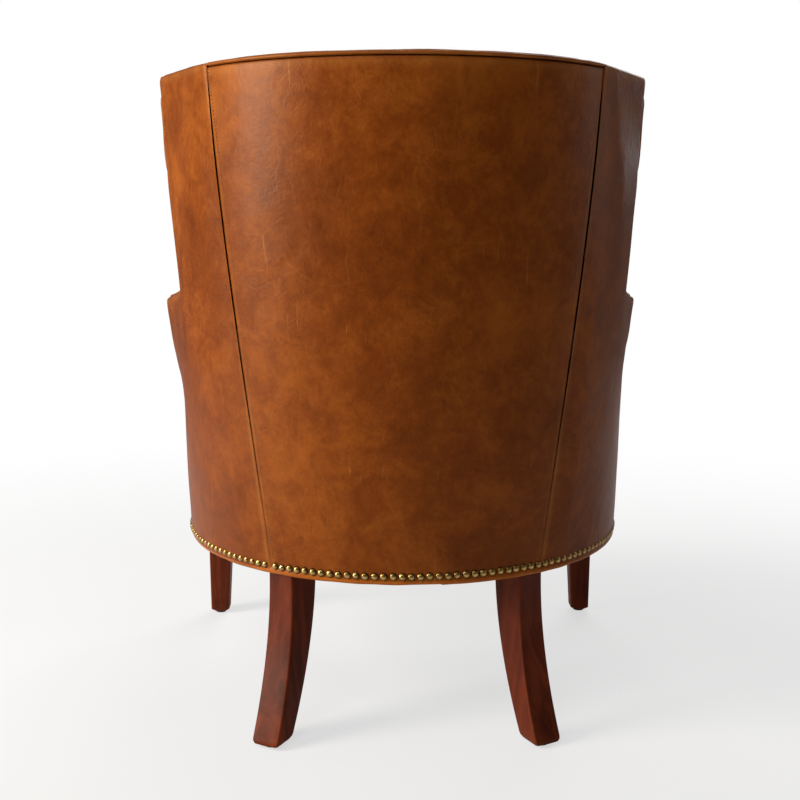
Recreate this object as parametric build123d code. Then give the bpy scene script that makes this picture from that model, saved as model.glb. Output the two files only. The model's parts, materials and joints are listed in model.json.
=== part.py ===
from build123d import *
import os
from math import asin, atan2, ceil, cos, degrees, radians, sin, sqrt, tan

# Barrel-backed wing armchair, in millimetres. The chair faces -Y, its back is towards +Y and +Z is up.
# The origin is on the floor, below the middle of the chair.

# Outside of the shell, one row for each height:
# height, radius of the round back, lean of the back, flare of the straight sides in degrees.
SHELL_LEVELS = (
    (258, 383, 0, 3),
    (400, 386, 10, 6),
    (550, 388, 21, 12),
    (660, 388, 28, 15.5),
    (760, 388, 35, 20),
    (900, 384, 43, 23),
    (1050, 374, 52, 27),
)
BASE_Z = SHELL_LEVELS[0][0]
TOP_Z = SHELL_LEVELS[-1][0]
FRONT_DEPTH = 655       # from the rear of the shell's lower edge to its front
HALF_SPAN = 520         # half the width of every cutting block

# Layers of the wall, as insets from its outside.
LEATHER = 2.0
GAP = 0.5
FELT_IN, FELT_OUT = LEATHER + GAP, LEATHER + GAP + 3
WOOD_IN, WOOD_OUT = 6.5, 31.5
WEB_IN, WEB_OUT = 32, 34
FOAM_IN = 35
WALL_BASE, WALL_TOP = 90, 62   # thickness of the whole wall at its foot and at its top

# Side profile of the wings and arms, from the wing's tip down to the foot of the arm:
# distance forward of the rear, height.
FRONT_OUTLINE = (
    (304, TOP_Z), (299, 970), (309, 925), (298, 890), (238, 850), (190, 802), (178, 760), (192, 722), (262, 699),
    (340, 681), (505, 664), (540, 658), (560, 640), (568, 612), (602, 480), (FRONT_DEPTH, 335), (FRONT_DEPTH, BASE_Z),
)

# Wooden frame inside the wall. A post or rail is given by its two heights.
EDGE_WOOD = 9           # wood stays this far inside the profile
POST_WIDTH = 30         # posts along the front edges
BACK_POST_WIDTH = 46
POST_SEAM_LOW, POST_SEAM_HIGH = 200, 278    # half widths of the back posts' middle lines
LOWER_RAIL = (345, 395)
CREST_LOW, CREST_TOP = 985, 1040
ARM_RAIL = (602, 642)
ARM_FRONT_DEPTH = 500   # the arm's front post stands forward of this depth
DOWEL_DIA, DOWEL_LENGTH = 9, 44
FIT_GAP = 0.2           # between pieces that touch

# Seams, as half widths at two heights.
SEAM_LOW_Z, SEAM_HIGH_Z = 280, 1045
BACK_SEAM_LOW, BACK_SEAM_HIGH = 214, 303
INSIDE_SEAM_LOW, INSIDE_SEAM_HIGH = 176, 226
WING_SEAM_Z = 690
SEAM_GAP = 0.6
EDGE_HEIGHT = 4         # leather turned under the outside panels

# Rolled edge along the top of the outside back.
ROLL_HEIGHT, ROLL_PROUD = 7, 1.5

# Seat rails, deck and cushion.
RAIL_BOTTOM, RAIL_TOP, RAIL_THICK = 262, 332, 25
RAIL_SPLIT_Y = 70
FRONT_RAIL_Y_INSET = 2
DECK_INSET = 3          # from the inside covers
INSULATOR_THICK, DECK_PAD_THICK, DECK_COVER_THICK = 3, 13.5, 1.5
BORDER_TOP = 348        # leather over the front rail
CUSHION_BOTTOM, CUSHION_THICK = 352.3, 130
CUSHION_GAP = 8
CUSHION_FRONT_DEPTH = 672
CUSHION_CORNER = 35
COVER_THICK = 1.5
WELT_OUT, WELT_HIGH, WELT_FROM_EDGE = 4, 5, 1
ZIP_HALF_ANGLE = 50
ZIP_HEIGHT, ZIP_THICK = 10, 1.2
SLIDER_LONG, SLIDER_HIGH, SLIDER_THICK = 12, 9, 2.4
SLIDER_GAP = 0.4

# Legs.
FOOT_Z = 2.5
BACK_LEG_TOP = (182, 89)        # sideways, forward of the rear
BACK_LEG_FOOT = (212, -3)
BACK_LEG_TOP_SIDE, BACK_LEG_FOOT_SIDE = 54.5, 47
BACK_LEG_TOP_TURN, BACK_LEG_FOOT_TURN = 45, 27
FRONT_LEG_OUTER_X = 392
FRONT_LEG_FRONT_DEPTH = 652
FRONT_LEG_TOP_SIDE, FRONT_LEG_FOOT_SIDE = 52, 36
LEG_STEPS = 8
GLIDE_DIA, GLIDE_PIN_DIA, GLIDE_PIN_LENGTH = 20, 3, 16
BOLT_DIA, BOLT_DOWN, BOLT_UP = 8, 45, 56
BOLT_HOLE_DIA = 8.4
BOLT_INSET = 48         # back bolts, from the shell's outside
FRONT_BOLT_SHIFT = (13, 14)     # from the middle of a front leg's top, inwards and backwards
WASHER_DIA, WASHER_THICK = 18, 1.6
NUT_RADIUS, NUT_HIGH = 7.5, 6.5

# Corner blocks and their screws.
BLOCK_TOP = 308
BLOCK_LONG, BLOCK_DEEP = 120, 52
SCREW_DIA, SCREW_Z = 4.5, 290
BACK_SCREW_LENGTH, FRONT_SCREW_LENGTH = 64, 42
SCREW_END = 13          # a screw stops this far from the shell's outside
SCREW_ASIDE = 20        # from the bolt, along the rail

# Decorative nails.
NAIL_Z = 271
NAIL_PITCH = 14.4
NAIL_DIA, NAIL_HEIGHT = 13, 5
NAIL_SHANK_DIA, NAIL_SHANK = 1.6, 11

# Springs.
SPRING_WIRE = 3.6
SPRING_XS = (-200, -100, 0, 100, 200)
SPRING_HALF_WIDTH = 24
SPRING_PITCH = 22
SPRING_Z = 321
SPRING_FROM_RAIL = 8
CLIP_HALF_WIDTH, CLIP_NEAR, CLIP_FAR = 9, 2.2, 5.6
TIE_YS = (-170, 20)
TIE_DIA, TIE_LENGTH = 3.2, 500

# Webbing across the back.
WEB_WIDTH = 50
WEB_HEIGHTS = (430, 530, 630, 730, 830, 930)

DUST_COVER_INSET, DUST_COVER_THICK = 17.5, 1.6

# The chair is centred on the origin between its top roll and the cushion's front welt.
REAR_Y = (CUSHION_FRONT_DEPTH + WELT_OUT - SHELL_LEVELS[-1][2] - ROLL_PROUD) / 2
FRONT_Y = REAR_Y - FRONT_DEPTH
CUT_Y = FRONT_Y - 60    # how far the sides are drawn before the side profile cuts them

parts = {}


def shell_at(z):
    # Radius, y of the arc's centre and flare of the shell at one height.
    pairs = list(zip(SHELL_LEVELS, SHELL_LEVELS[1:]))
    low, high = next((pair for pair in pairs if z <= pair[1][0]), pairs[-1])
    share = (z - low[0]) / (high[0] - low[0])
    radius, lean, flare = (a + share * (b - a) for a, b in zip(low[1:], high[1:]))
    return radius, REAR_Y + lean - radius, radians(flare)


def wall_at(z):
    # Thickness of the upholstered wall at one height.
    return WALL_BASE + (WALL_TOP - WALL_BASE) * (z - BASE_Z) / (TOP_Z - BASE_Z)


def wall_inset(inset, z):
    # An inset is a number, or a function of the height.
    return inset(z) if callable(inset) else inset


def side_line(z, inset, front_y):
    # Where the arc ends and where the straight side reaches front_y, on the +X side.
    radius, centre_y, flare = shell_at(z)
    r = radius - inset
    end_x, end_y = r * cos(flare), centre_y + r * sin(flare)
    return (end_x, end_y, z), (end_x + (end_y - front_y) * tan(flare), front_y, z)


def mirrored(point):
    return (-point[0], point[1], point[2])


def u_edges(z, inset, front_y):
    # The U-shaped line at one inset: side, round back, side.
    radius, centre_y, _ = shell_at(z)
    end, front = side_line(z, inset, front_y)
    apex = (0, centre_y + radius - inset, z)
    return [Line(mirrored(front), mirrored(end)), ThreePointArc(mirrored(end), apex, end), Line(end, front)]


def wall_wire(z, outer, inner):
    outside = u_edges(z, wall_inset(outer, z), CUT_Y)
    inside = u_edges(z, wall_inset(inner, z), CUT_Y)
    tips = [Line(outside[2] @ 1, inside[2] @ 1), Line(inside[0] @ 0, outside[0] @ 0)]
    return Wire(outside + inside + tips)


def room_wire(z, inset, front_y):
    edges = u_edges(z, wall_inset(inset, z), front_y)
    return Wire(edges + [Line(edges[2] @ 1, edges[0] @ 0)])


def heights_between(low, high):
    middle = [level[0] for level in SHELL_LEVELS if low < level[0] < high]
    return [low] + middle + [high]


def wall_between(outer, inner, low=BASE_Z, high=TOP_Z):
    # The part of the wall between two insets.
    return Solid.make_loft([wall_wire(z, outer, inner) for z in heights_between(low, high)], True)


def room_inside(inset, low, high, front_y=CUT_Y):
    # Everything that the wall encloses, from one inset inwards.
    return Solid.make_loft([room_wire(z, inset, front_y) for z in heights_between(low, high)], True)


def block(x_range, y_range, z_range):
    size = [high - low for low, high in (x_range, y_range, z_range)]
    middle = [(high + low) / 2 for low, high in (x_range, y_range, z_range)]
    return Pos(*middle) * Box(*size)


def slab(low, high):
    return block((-HALF_SPAN, HALF_SPAN), (-HALF_SPAN, HALF_SPAN), (low, high))


def half(side):
    # All space on one side: 1 is +X, -1 is -X.
    limits = sorted((side * SEAM_GAP / 2, side * HALF_SPAN))
    return block(limits, (-HALF_SPAN, HALF_SPAN), (0, TOP_Z + 50))


def moved_inwards(points, inset):
    # Shift an open outline to its right-hand side; its ends keep their own height or depth.
    moved = []
    for index, (depth, z) in enumerate(points):
        before, after = points[max(index - 1, 0)], points[min(index + 1, len(points) - 1)]
        run, rise = after[0] - before[0], after[1] - before[1]
        length = sqrt(run ** 2 + rise ** 2)
        moved.append((depth + inset * rise / length, z - inset * run / length))
    return moved


def side_profile(inset=0):
    # Side view of the wings and arms, extruded across the whole chair.
    outline = moved_inwards(FRONT_OUTLINE, inset)
    points = [(0, REAR_Y - depth, z) for depth, z in outline]
    foot, foot_rear = (0, points[-1][1], BASE_Z - 40), (0, REAR_Y + 120, BASE_Z - 40)
    edges = Polyline(points[:-1] + [foot, foot_rear, (0, REAR_Y + 120, points[0][2])], close=True).edges()
    whole = extrude(Face(Wire(edges)), amount=HALF_SPAN, dir=(1, 0, 0), both=True)
    return whole & slab(BASE_Z - 40, TOP_Z - inset)


def between_seams(low_half, high_half, grow=0):
    # A tapered block between two seams that climb the back.
    rise = (high_half - low_half) / (SEAM_HIGH_Z - SEAM_LOW_Z)
    bottom_z, top_z = 0, TOP_Z + 60
    bottom_x = low_half + grow + rise * (bottom_z - SEAM_LOW_Z)
    top_x = low_half + grow + rise * (top_z - SEAM_LOW_Z)
    corners = [(-bottom_x, bottom_z), (bottom_x, bottom_z), (top_x, top_z), (-top_x, top_z)]
    outline = Polyline([(x, -HALF_SPAN, z) for x, z in corners], close=True)
    return extrude(Face(Wire(outline.edges())), amount=2 * HALF_SPAN, dir=(0, 1, 0))


def seam_x(z, low_half, high_half):
    return low_half + (high_half - low_half) * (z - SEAM_LOW_Z) / (SEAM_HIGH_Z - SEAM_LOW_Z)


def on_back(x, z, inset):
    # A point of the round back at one inset.
    radius, centre_y, _ = shell_at(z)
    return (x, centre_y + sqrt((radius - inset) ** 2 - x ** 2), z)


def solids_of(shape, smallest=50):
    return [solid for solid in shape.solids() if solid.volume > smallest]


def keep(name, shape):
    found = solids_of(shape) if not isinstance(shape, list) else shape
    parts[name] = found


SIDES = (("left", 1), ("right", -1))


def make_outside_covers():
    skin = wall_between(0, LEATHER, BASE_Z + EDGE_HEIGHT, TOP_Z) & side_profile()
    roll_band = block((-HALF_SPAN, HALF_SPAN), (0, HALF_SPAN), (TOP_Z - ROLL_HEIGHT, TOP_Z + 1))
    middle = between_seams(BACK_SEAM_LOW, BACK_SEAM_HIGH, -SEAM_GAP / 2)
    rest = skin - between_seams(BACK_SEAM_LOW, BACK_SEAM_HIGH, SEAM_GAP / 2)
    keep("outside_back_panel", (skin & middle) - roll_band)
    for name, side in SIDES:
        keep(name + "_outside_panel", rest & half(side))
    roll = wall_between(-ROLL_PROUD, LEATHER + FIT_GAP, TOP_Z - ROLL_HEIGHT + GAP, TOP_Z) & middle
    keep("top_roll", roll & roll_band)


def make_outer_felt():
    felt = wall_between(FELT_IN, FELT_OUT, RAIL_TOP, TOP_Z - 4) & side_profile(4)
    keep("outside_back_felt", felt & between_seams(BACK_SEAM_LOW, BACK_SEAM_HIGH, -1))
    sides = felt - between_seams(BACK_SEAM_LOW, BACK_SEAM_HIGH, 1)
    for name, side in SIDES:
        keep(name + "_outside_felt", sides & half(side))


def make_inside_covers():
    def inner_face(z):
        return wall_at(z) - LEATHER
    whole = wall_between(FELT_IN, wall_at, RAIL_TOP + 3, TOP_Z) & side_profile()
    core = wall_between(0, inner_face, RAIL_TOP, TOP_Z) & side_profile(LEATHER)
    skin = whole - core
    keep("inside_back_cover", skin & between_seams(INSIDE_SEAM_LOW, INSIDE_SEAM_HIGH, -SEAM_GAP / 2))
    sides = skin - between_seams(INSIDE_SEAM_LOW, INSIDE_SEAM_HIGH, SEAM_GAP / 2)
    for name, side in SIDES:
        mine = sides & half(side)
        keep(name + "_inside_wing_cover", mine & slab(WING_SEAM_Z + SEAM_GAP / 2, TOP_Z + 5))
        keep(name + "_inside_arm_cover", mine & slab(0, WING_SEAM_Z - SEAM_GAP / 2))


def make_inside_foam():
    def inner_face(z):
        return wall_at(z) - LEATHER - GAP
    foam = wall_between(FOAM_IN, inner_face, RAIL_TOP + 3, TOP_Z) & side_profile(LEATHER + GAP)
    keep("back_foam", foam & between_seams(INSIDE_SEAM_LOW, INSIDE_SEAM_HIGH, -1))
    sides = foam - between_seams(INSIDE_SEAM_LOW, INSIDE_SEAM_HIGH, 1)
    for name, side in SIDES:
        mine = sides & half(side)
        keep(name + "_wing_foam", mine & slab(WING_SEAM_Z + 1, TOP_Z + 5))
        keep(name + "_arm_foam", mine & slab(0, WING_SEAM_Z - 1))


def make_dowels():
    # Upright dowels join the back posts to the rails above and below them.
    dowels = []
    for z in (LOWER_RAIL[1], CREST_LOW):
        for side in (1, -1):
            x = side * seam_x(z, POST_SEAM_LOW, POST_SEAM_HIGH)
            centre = on_back(x, z, (WOOD_IN + WOOD_OUT) / 2)
            dowels.append(Pos(*centre) * Cylinder(DOWEL_DIA / 2, DOWEL_LENGTH))
    return dowels


def make_back_frame():
    # Posts and rails behind the sitter, dowelled together.
    wood = wall_between(WOOD_IN, WOOD_OUT, LOWER_RAIL[0], CREST_TOP)
    dowels = Compound(children=make_dowels())
    keep("rail_dowels", make_dowels())
    post_span = between_seams(POST_SEAM_LOW, POST_SEAM_HIGH, BACK_POST_WIDTH / 2)
    inner_span = between_seams(POST_SEAM_LOW, POST_SEAM_HIGH, -BACK_POST_WIDTH / 2)
    keep("crest_rail", (wood & slab(CREST_LOW, CREST_TOP) & post_span) - dowels)
    keep("lower_back_rail", (wood & slab(*LOWER_RAIL) & post_span) - dowels)
    posts = ((wood & slab(LOWER_RAIL[1], CREST_LOW) & post_span) - inner_span) - dowels
    for name, side in SIDES:
        keep(name + "_back_post", posts & half(side))


def make_seat_frame():
    # Four rails under the seat.
    wood = wall_between(WOOD_IN, WOOD_OUT, RAIL_BOTTOM, RAIL_TOP)
    across = (-HALF_SPAN, HALF_SPAN)
    rail_front = FRONT_Y + FRONT_RAIL_Y_INSET
    keep("back_rail", wood & block(across, (RAIL_SPLIT_Y, HALF_SPAN), (RAIL_BOTTOM, RAIL_TOP)))
    side_rails = wood & block(across, (rail_front, RAIL_SPLIT_Y - GAP), (RAIL_BOTTOM, RAIL_TOP))
    for name, side in SIDES:
        keep(name + "_side_rail", side_rails & half(side))
    inside = room_inside(WOOD_OUT + FIT_GAP, RAIL_BOTTOM, RAIL_TOP)
    keep("front_rail", inside & block(across, (rail_front, rail_front + RAIL_THICK), (RAIL_BOTTOM, RAIL_TOP)))


def make_side_frames():
    # Posts and rails that carry the wings and arms, set back from their front edges.
    wood = wall_between(WOOD_IN, WOOD_OUT, RAIL_BOTTOM, CREST_TOP)
    trimmed = wood & side_profile(EDGE_WOOD)
    edge_band = wood & (side_profile(EDGE_WOOD) - side_profile(EDGE_WOOD + POST_WIDTH))
    post_span = between_seams(POST_SEAM_LOW, POST_SEAM_HIGH, BACK_POST_WIDTH / 2)
    wing_band = (edge_band & slab(ARM_RAIL[1] + GAP, CREST_TOP)) - post_span
    top_band = wing_band & slab(CREST_TOP - POST_WIDTH, CREST_TOP)
    wing_posts = wing_band - slab(CREST_TOP - POST_WIDTH - GAP, TOP_Z)
    arm_front = block((-HALF_SPAN, HALF_SPAN), (FRONT_Y, REAR_Y - ARM_FRONT_DEPTH), (RAIL_TOP + GAP, ARM_RAIL[1]))
    arm_posts = edge_band & arm_front
    arm_rails = ((trimmed & slab(*ARM_RAIL)) - post_span) - arm_posts
    for name, side in SIDES:
        mine = half(side)
        keep(name + "_wing_post", wing_posts & mine)
        keep(name + "_wing_top_rail", top_band & mine)
        keep(name + "_arm_post", arm_posts & mine)
        keep(name + "_arm_rail", arm_rails & mine)


def back_leg_place(share):
    # Centre, side and turn of a back leg's square section; share runs from 0 at the top to 1 at the foot.
    bend = share ** 2
    x = BACK_LEG_TOP[0] + (BACK_LEG_FOOT[0] - BACK_LEG_TOP[0]) * bend
    depth = BACK_LEG_TOP[1] + (BACK_LEG_FOOT[1] - BACK_LEG_TOP[1]) * bend
    side = BACK_LEG_TOP_SIDE + (BACK_LEG_FOOT_SIDE - BACK_LEG_TOP_SIDE) * share
    turn = BACK_LEG_TOP_TURN + (BACK_LEG_FOOT_TURN - BACK_LEG_TOP_TURN) * share
    return x, REAR_Y - depth, side, turn


def leg_height(share):
    return RAIL_BOTTOM + (FOOT_Z - RAIL_BOTTOM) * share


def make_back_legs():
    for name, side in SIDES:
        sections = []
        for step in range(LEG_STEPS + 1):
            share = step / LEG_STEPS
            x, y, width, turn = back_leg_place(share)
            place = Pos(side * x, y, leg_height(share)) * Rot(0, 0, -side * turn)
            sections.append(place * Rectangle(width, width))
        leg = loft(sections)
        keep("back_leg_" + name, leg - leg_holes())


def front_leg_place(share):
    width = FRONT_LEG_TOP_SIDE + (FRONT_LEG_FOOT_SIDE - FRONT_LEG_TOP_SIDE) * share
    return FRONT_LEG_OUTER_X - width / 2, REAR_Y - FRONT_LEG_FRONT_DEPTH + width / 2, width


def make_front_legs():
    for name, side in SIDES:
        sections = []
        for share in (0, 1):
            x, y, width = front_leg_place(share)
            sections.append(Pos(side * x, y, leg_height(share)) * Rectangle(width, width))
        keep("front_leg_" + name, loft(sections) - leg_holes())


def leg_places():
    # Foot centre and bolt centre of each leg.
    back_x, back_y, _, _ = back_leg_place(1)
    front_x, front_y, _ = front_leg_place(1)
    front_top_x, front_top_y, _ = front_leg_place(0)
    bolt_x, bolt_y, _ = on_back(BACK_LEG_TOP[0], RAIL_BOTTOM, BOLT_INSET)
    front_bolt_x, front_bolt_y = front_top_x - FRONT_BOLT_SHIFT[0], front_top_y + FRONT_BOLT_SHIFT[1]
    places = []
    for side in (1, -1):
        places.append(((side * back_x, back_y), (side * bolt_x, bolt_y)))
        places.append(((side * front_x, front_y), (side * front_bolt_x, front_bolt_y)))
    return places


def leg_holes():
    bolts = [Pos(x, y, RAIL_BOTTOM) * Cylinder(BOLT_HOLE_DIA / 2, 2 * BOLT_DOWN) for _, (x, y) in leg_places()]
    pins = [Pos(x, y, FOOT_Z) * Cylinder(GLIDE_PIN_DIA / 2, 2 * GLIDE_PIN_LENGTH) for (x, y), _ in leg_places()]
    return Compound(children=bolts + pins)


def make_leg_fittings():
    bolts, glides, nuts = [], [], []
    for (foot_x, foot_y), (x, y) in leg_places():
        length = BOLT_DOWN + BOLT_UP
        bolts.append(Pos(x, y, RAIL_BOTTOM + (BOLT_UP - BOLT_DOWN) / 2) * Cylinder(BOLT_DIA / 2, length))
        pin = Cylinder(GLIDE_PIN_DIA / 2, FOOT_Z + GLIDE_PIN_LENGTH, align=(Align.CENTER, Align.CENTER, Align.MIN))
        disc = Cylinder(GLIDE_DIA / 2, FOOT_Z, align=(Align.CENTER, Align.CENTER, Align.MIN))
        glides.append((Pos(foot_x, foot_y, 0) * (disc + pin)).solids()[0])
        washer = Cylinder(WASHER_DIA / 2, WASHER_THICK, align=(Align.CENTER, Align.CENTER, Align.MIN))
        nut = Pos(0, 0, WASHER_THICK) * extrude(RegularPolygon(NUT_RADIUS, 6), NUT_HIGH)
        hole = Cylinder(BOLT_HOLE_DIA / 2, 4 * NUT_HIGH)
        nuts.append((Pos(x, y, BLOCK_TOP) * ((washer + nut) - hole)).solids()[0])
    keep("leg_bolts", bolts)
    keep("leg_nuts", nuts)
    keep("foot_glides", glides)


def make_corner_blocks():
    # Blocks in the four corners of the seat frame take the leg bolts.
    behind_rail = FRONT_Y + FRONT_RAIL_Y_INSET + RAIL_THICK + FIT_GAP
    inside = room_inside(WOOD_OUT + FIT_GAP, RAIL_BOTTOM, BLOCK_TOP, behind_rail)
    tall = BLOCK_TOP - RAIL_BOTTOM
    holes = [Pos(x, y, RAIL_BOTTOM) * Cylinder(BOLT_HOLE_DIA / 2, 4 * tall) for _, (x, y) in leg_places()]
    cutters = Compound(children=holes + corner_screws())
    blocks = []
    for _, (x, y) in leg_places():
        side = 1 if x > 0 else -1
        turn = -degrees(atan2(x, y - shell_at(RAIL_BOTTOM)[1])) if y > 0 else 45 * side
        shape = Pos(x, y, RAIL_BOTTOM + tall / 2) * Rot(0, 0, turn) * Box(BLOCK_LONG, BLOCK_DEEP, tall)
        blocks += solids_of((shape & inside) - cutters)
    keep("corner_blocks", blocks)


def level_screw(tip, angle, length):
    # A level screw that ends at its tip; the angle is the way it points.
    shank = Pos(-length / 2, 0, 0) * Rot(0, 90, 0) * Cylinder(SCREW_DIA / 2, length)
    return (Pos(*tip, SCREW_Z) * Rot(0, 0, angle) * shank).solids()[0]


def corner_screws():
    # Two level screws through each block into the rails beside it.
    radius, centre_y, _ = shell_at(SCREW_Z)
    screws = []
    for _, (x, y) in leg_places():
        side = 1 if x > 0 else -1
        if y > 0:
            for step in (-1, 1):
                angle = degrees(atan2(y - centre_y, x)) + step * degrees(asin(SCREW_ASIDE / radius))
                reach = radius - SCREW_END
                tip = (reach * cos(radians(angle)), centre_y + reach * sin(radians(angle)))
                screws.append(level_screw(tip, angle, BACK_SCREW_LENGTH))
        else:
            _, wall = side_line(SCREW_Z, SCREW_END, y + SCREW_ASIDE)
            screws.append(level_screw((side * wall[0], y + SCREW_ASIDE), 90 - 90 * side, FRONT_SCREW_LENGTH))
            screws.append(level_screw((x - side * SCREW_ASIDE, FRONT_Y + SCREW_END), -90, FRONT_SCREW_LENGTH))
    return screws


def nail_path():
    # Nail centres and outward directions: round the back and sides, then across the front.
    radius, centre_y, flare = shell_at(NAIL_Z)
    end, front = side_line(NAIL_Z, 0, FRONT_Y + NAIL_PITCH / 2)
    arc_angle = radians(90) - flare
    arc_count = int(radius * arc_angle / NAIL_PITCH)
    places = []
    for step in range(-arc_count, arc_count + 1):
        angle = step * arc_angle / arc_count
        places.append((radius * sin(angle), centre_y + radius * cos(angle), sin(angle), cos(angle)))
    straight = (end[1] - front[1]) / cos(flare)
    side_count = ceil(straight / NAIL_PITCH)
    for step in range(1, side_count + 1):
        along = step * straight / side_count
        x, y = end[0] + along * sin(flare), end[1] - along * cos(flare)
        for side in (1, -1):
            places.append((side * x, y, side * cos(flare), sin(flare)))
    front_half = front[0] - NAIL_PITCH
    front_count = ceil(2 * front_half / NAIL_PITCH)
    for step in range(front_count + 1):
        places.append((-front_half + 2 * front_half * step / front_count, FRONT_Y - LEATHER - GAP, 0, -1))
    return places


def nail_solid():
    # A domed head on a short shank, pointing along +X.
    rim, top = NAIL_DIA / 2, NAIL_HEIGHT
    shank = NAIL_SHANK_DIA / 2
    outline = Polyline((-NAIL_SHANK, 0), (-NAIL_SHANK, shank), (0, shank), (0, rim), (top * 0.5, rim * 0.9),
                       (top * 0.85, rim * 0.6), (top, rim * 0.2), (top, 0), close=True)
    return revolve(Face(Wire(outline.edges())), Axis.X).solids()[0]


def make_nails():
    nail = nail_solid()
    nails = []
    for x, y, out_x, out_y in nail_path():
        nails.append(Pos(x, y, NAIL_Z) * Rot(0, 0, degrees(atan2(out_y, out_x))) * nail)
    keep("nailheads", nails)


def make_base_trim():
    # The leather edge that is turned under the rails, and the panel over the front rail.
    front_face = FRONT_Y - LEATHER
    band = wall_between(-GAP, LEATHER, BASE_Z, BASE_Z + EDGE_HEIGHT - FIT_GAP)
    keep("base_band", band & block((-HALF_SPAN, HALF_SPAN), (FRONT_Y, HALF_SPAN), (0, TOP_Z)))
    _, corner = side_line(BASE_Z, 0, FRONT_Y)
    keep("front_border", block((-corner[0], corner[0]), (front_face, FRONT_Y - FIT_GAP), (BASE_Z, BORDER_TOP)))


def seat_room(inset, low, high, front_depth):
    def at(z):
        return wall_at(z) + inset
    return room_inside(at, low, high, REAR_Y - front_depth)


def make_deck():
    low = RAIL_TOP + GAP
    layers = (("deck_insulator", INSULATOR_THICK), ("deck_pad", DECK_PAD_THICK), ("deck_cover", DECK_COVER_THICK))
    for name, thick in layers:
        keep(name, seat_room(DECK_INSET, low, low + thick, FRONT_DEPTH - 1))
        low += thick + GAP


def spring_wire(x, front_y, back_y):
    # A flat zigzag wire: straight cross bars joined by half-round bends.
    bars = int((back_y - front_y) / SPRING_PITCH) // 2 * 2
    pitch = (back_y - front_y) / bars
    reach = SPRING_HALF_WIDTH - pitch / 2
    edges = [Line((x, front_y, 0), (x + reach, front_y, 0))]
    for step in range(bars):
        side = 1 if step % 2 == 0 else -1
        y = front_y + step * pitch
        edges.append(ThreePointArc((x + side * reach, y, 0), (x + side * SPRING_HALF_WIDTH, y + pitch / 2, 0),
                                   (x + side * reach, y + pitch, 0)))
        stop = x if step == bars - 1 else x - side * reach
        edges.append(Line((x + side * reach, y + pitch, 0), (stop, y + pitch, 0)))
    path = Wire(edges)
    start = Plane(origin=path @ 0, z_dir=path % 0)
    return Pos(0, 0, SPRING_Z) * sweep(start * Circle(SPRING_WIRE / 2), path=path)


def make_springs():
    springs, clips = [], []
    front_y = FRONT_Y + FRONT_RAIL_Y_INSET + RAIL_THICK + SPRING_FROM_RAIL
    for x in SPRING_XS:
        back_y = on_back(abs(x) + SPRING_HALF_WIDTH, RAIL_TOP, WOOD_OUT)[1] - SPRING_FROM_RAIL
        springs += spring_wire(x, front_y, back_y).solids()
        for y, way in ((front_y, -1), (back_y, 1)):
            ends = sorted((y + way * CLIP_NEAR, y + way * CLIP_FAR))
            clips.append(block((x - CLIP_HALF_WIDTH, x + CLIP_HALF_WIDTH), ends, (SPRING_Z - 6, SPRING_Z + 9)))
    keep("seat_springs", springs)
    keep("spring_clips", clips)
    tie_z = SPRING_Z + (SPRING_WIRE + TIE_DIA) / 2 + GAP
    keep("spring_ties", [Pos(0, y, tie_z) * Rot(0, 90, 0) * Cylinder(TIE_DIA / 2, TIE_LENGTH) for y in TIE_YS])


def make_webbing():
    web = wall_between(WEB_IN, WEB_OUT, LOWER_RAIL[0], CREST_TOP)
    zone = between_seams(POST_SEAM_LOW, POST_SEAM_HIGH, BACK_POST_WIDTH / 2 - 4)
    straps = []
    for z in WEB_HEIGHTS:
        straps += solids_of(web & zone & slab(z - WEB_WIDTH / 2, z + WEB_WIDTH / 2))
    keep("back_webbing", straps)


def make_dust_cover():
    top = RAIL_BOTTOM - GAP
    sheet = room_inside(DUST_COVER_INSET, top - DUST_COVER_THICK, top, FRONT_Y + DUST_COVER_INSET)
    for leg_top in leg_tops():
        sheet = sheet - leg_top
    keep("dust_cover", sheet)


def leg_tops():
    # Upright blocks a little larger than the leg tops.
    blocks = []
    for side in (1, -1):
        x, y, width, turn = back_leg_place(0)
        blocks.append(Pos(side * x, y, RAIL_BOTTOM) * Rot(0, 0, -side * turn) * Box(width + 2, width + 2, 20))
        x, y, width = front_leg_place(0)
        blocks.append(Pos(side * x, y, RAIL_BOTTOM) * Box(width + 2, width + 2, 20))
    return blocks


def cushion_outline(shrink):
    # D-shaped outline of the cushion: round back, straight sides, rounded front corners.
    inset = wall_at(CUSHION_BOTTOM) + CUSHION_GAP + shrink
    wire = room_wire(CUSHION_BOTTOM, inset, REAR_Y - CUSHION_FRONT_DEPTH + shrink)
    face = Face(wire)
    corners = face.vertices().sort_by(Axis.Y)[:2]
    return face.fillet_2d(CUSHION_CORNER - shrink, corners)


def cushion_slab(shrink, low, high):
    face = cushion_outline(shrink)
    return Pos(0, 0, low - CUSHION_BOTTOM) * extrude(face, amount=high - low, dir=(0, 0, 1))


def arc_strip(radius_in, radius_out, centre_y, start, stop, low, high):
    # An upright strip along an arc; angles are measured from +Y towards +X.
    def at(radius, angle):
        return (radius * sin(radians(angle)), centre_y + radius * cos(radians(angle)), low)
    middle = (start + stop) / 2
    outer = ThreePointArc(at(radius_out, start), at(radius_out, middle), at(radius_out, stop))
    inner = ThreePointArc(at(radius_in, start), at(radius_in, middle), at(radius_in, stop))
    ends = [Line(outer @ 0, inner @ 0), Line(outer @ 1, inner @ 1)]
    return extrude(Face(Wire([outer, inner] + ends)), amount=high - low, dir=(0, 0, 1))


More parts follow.
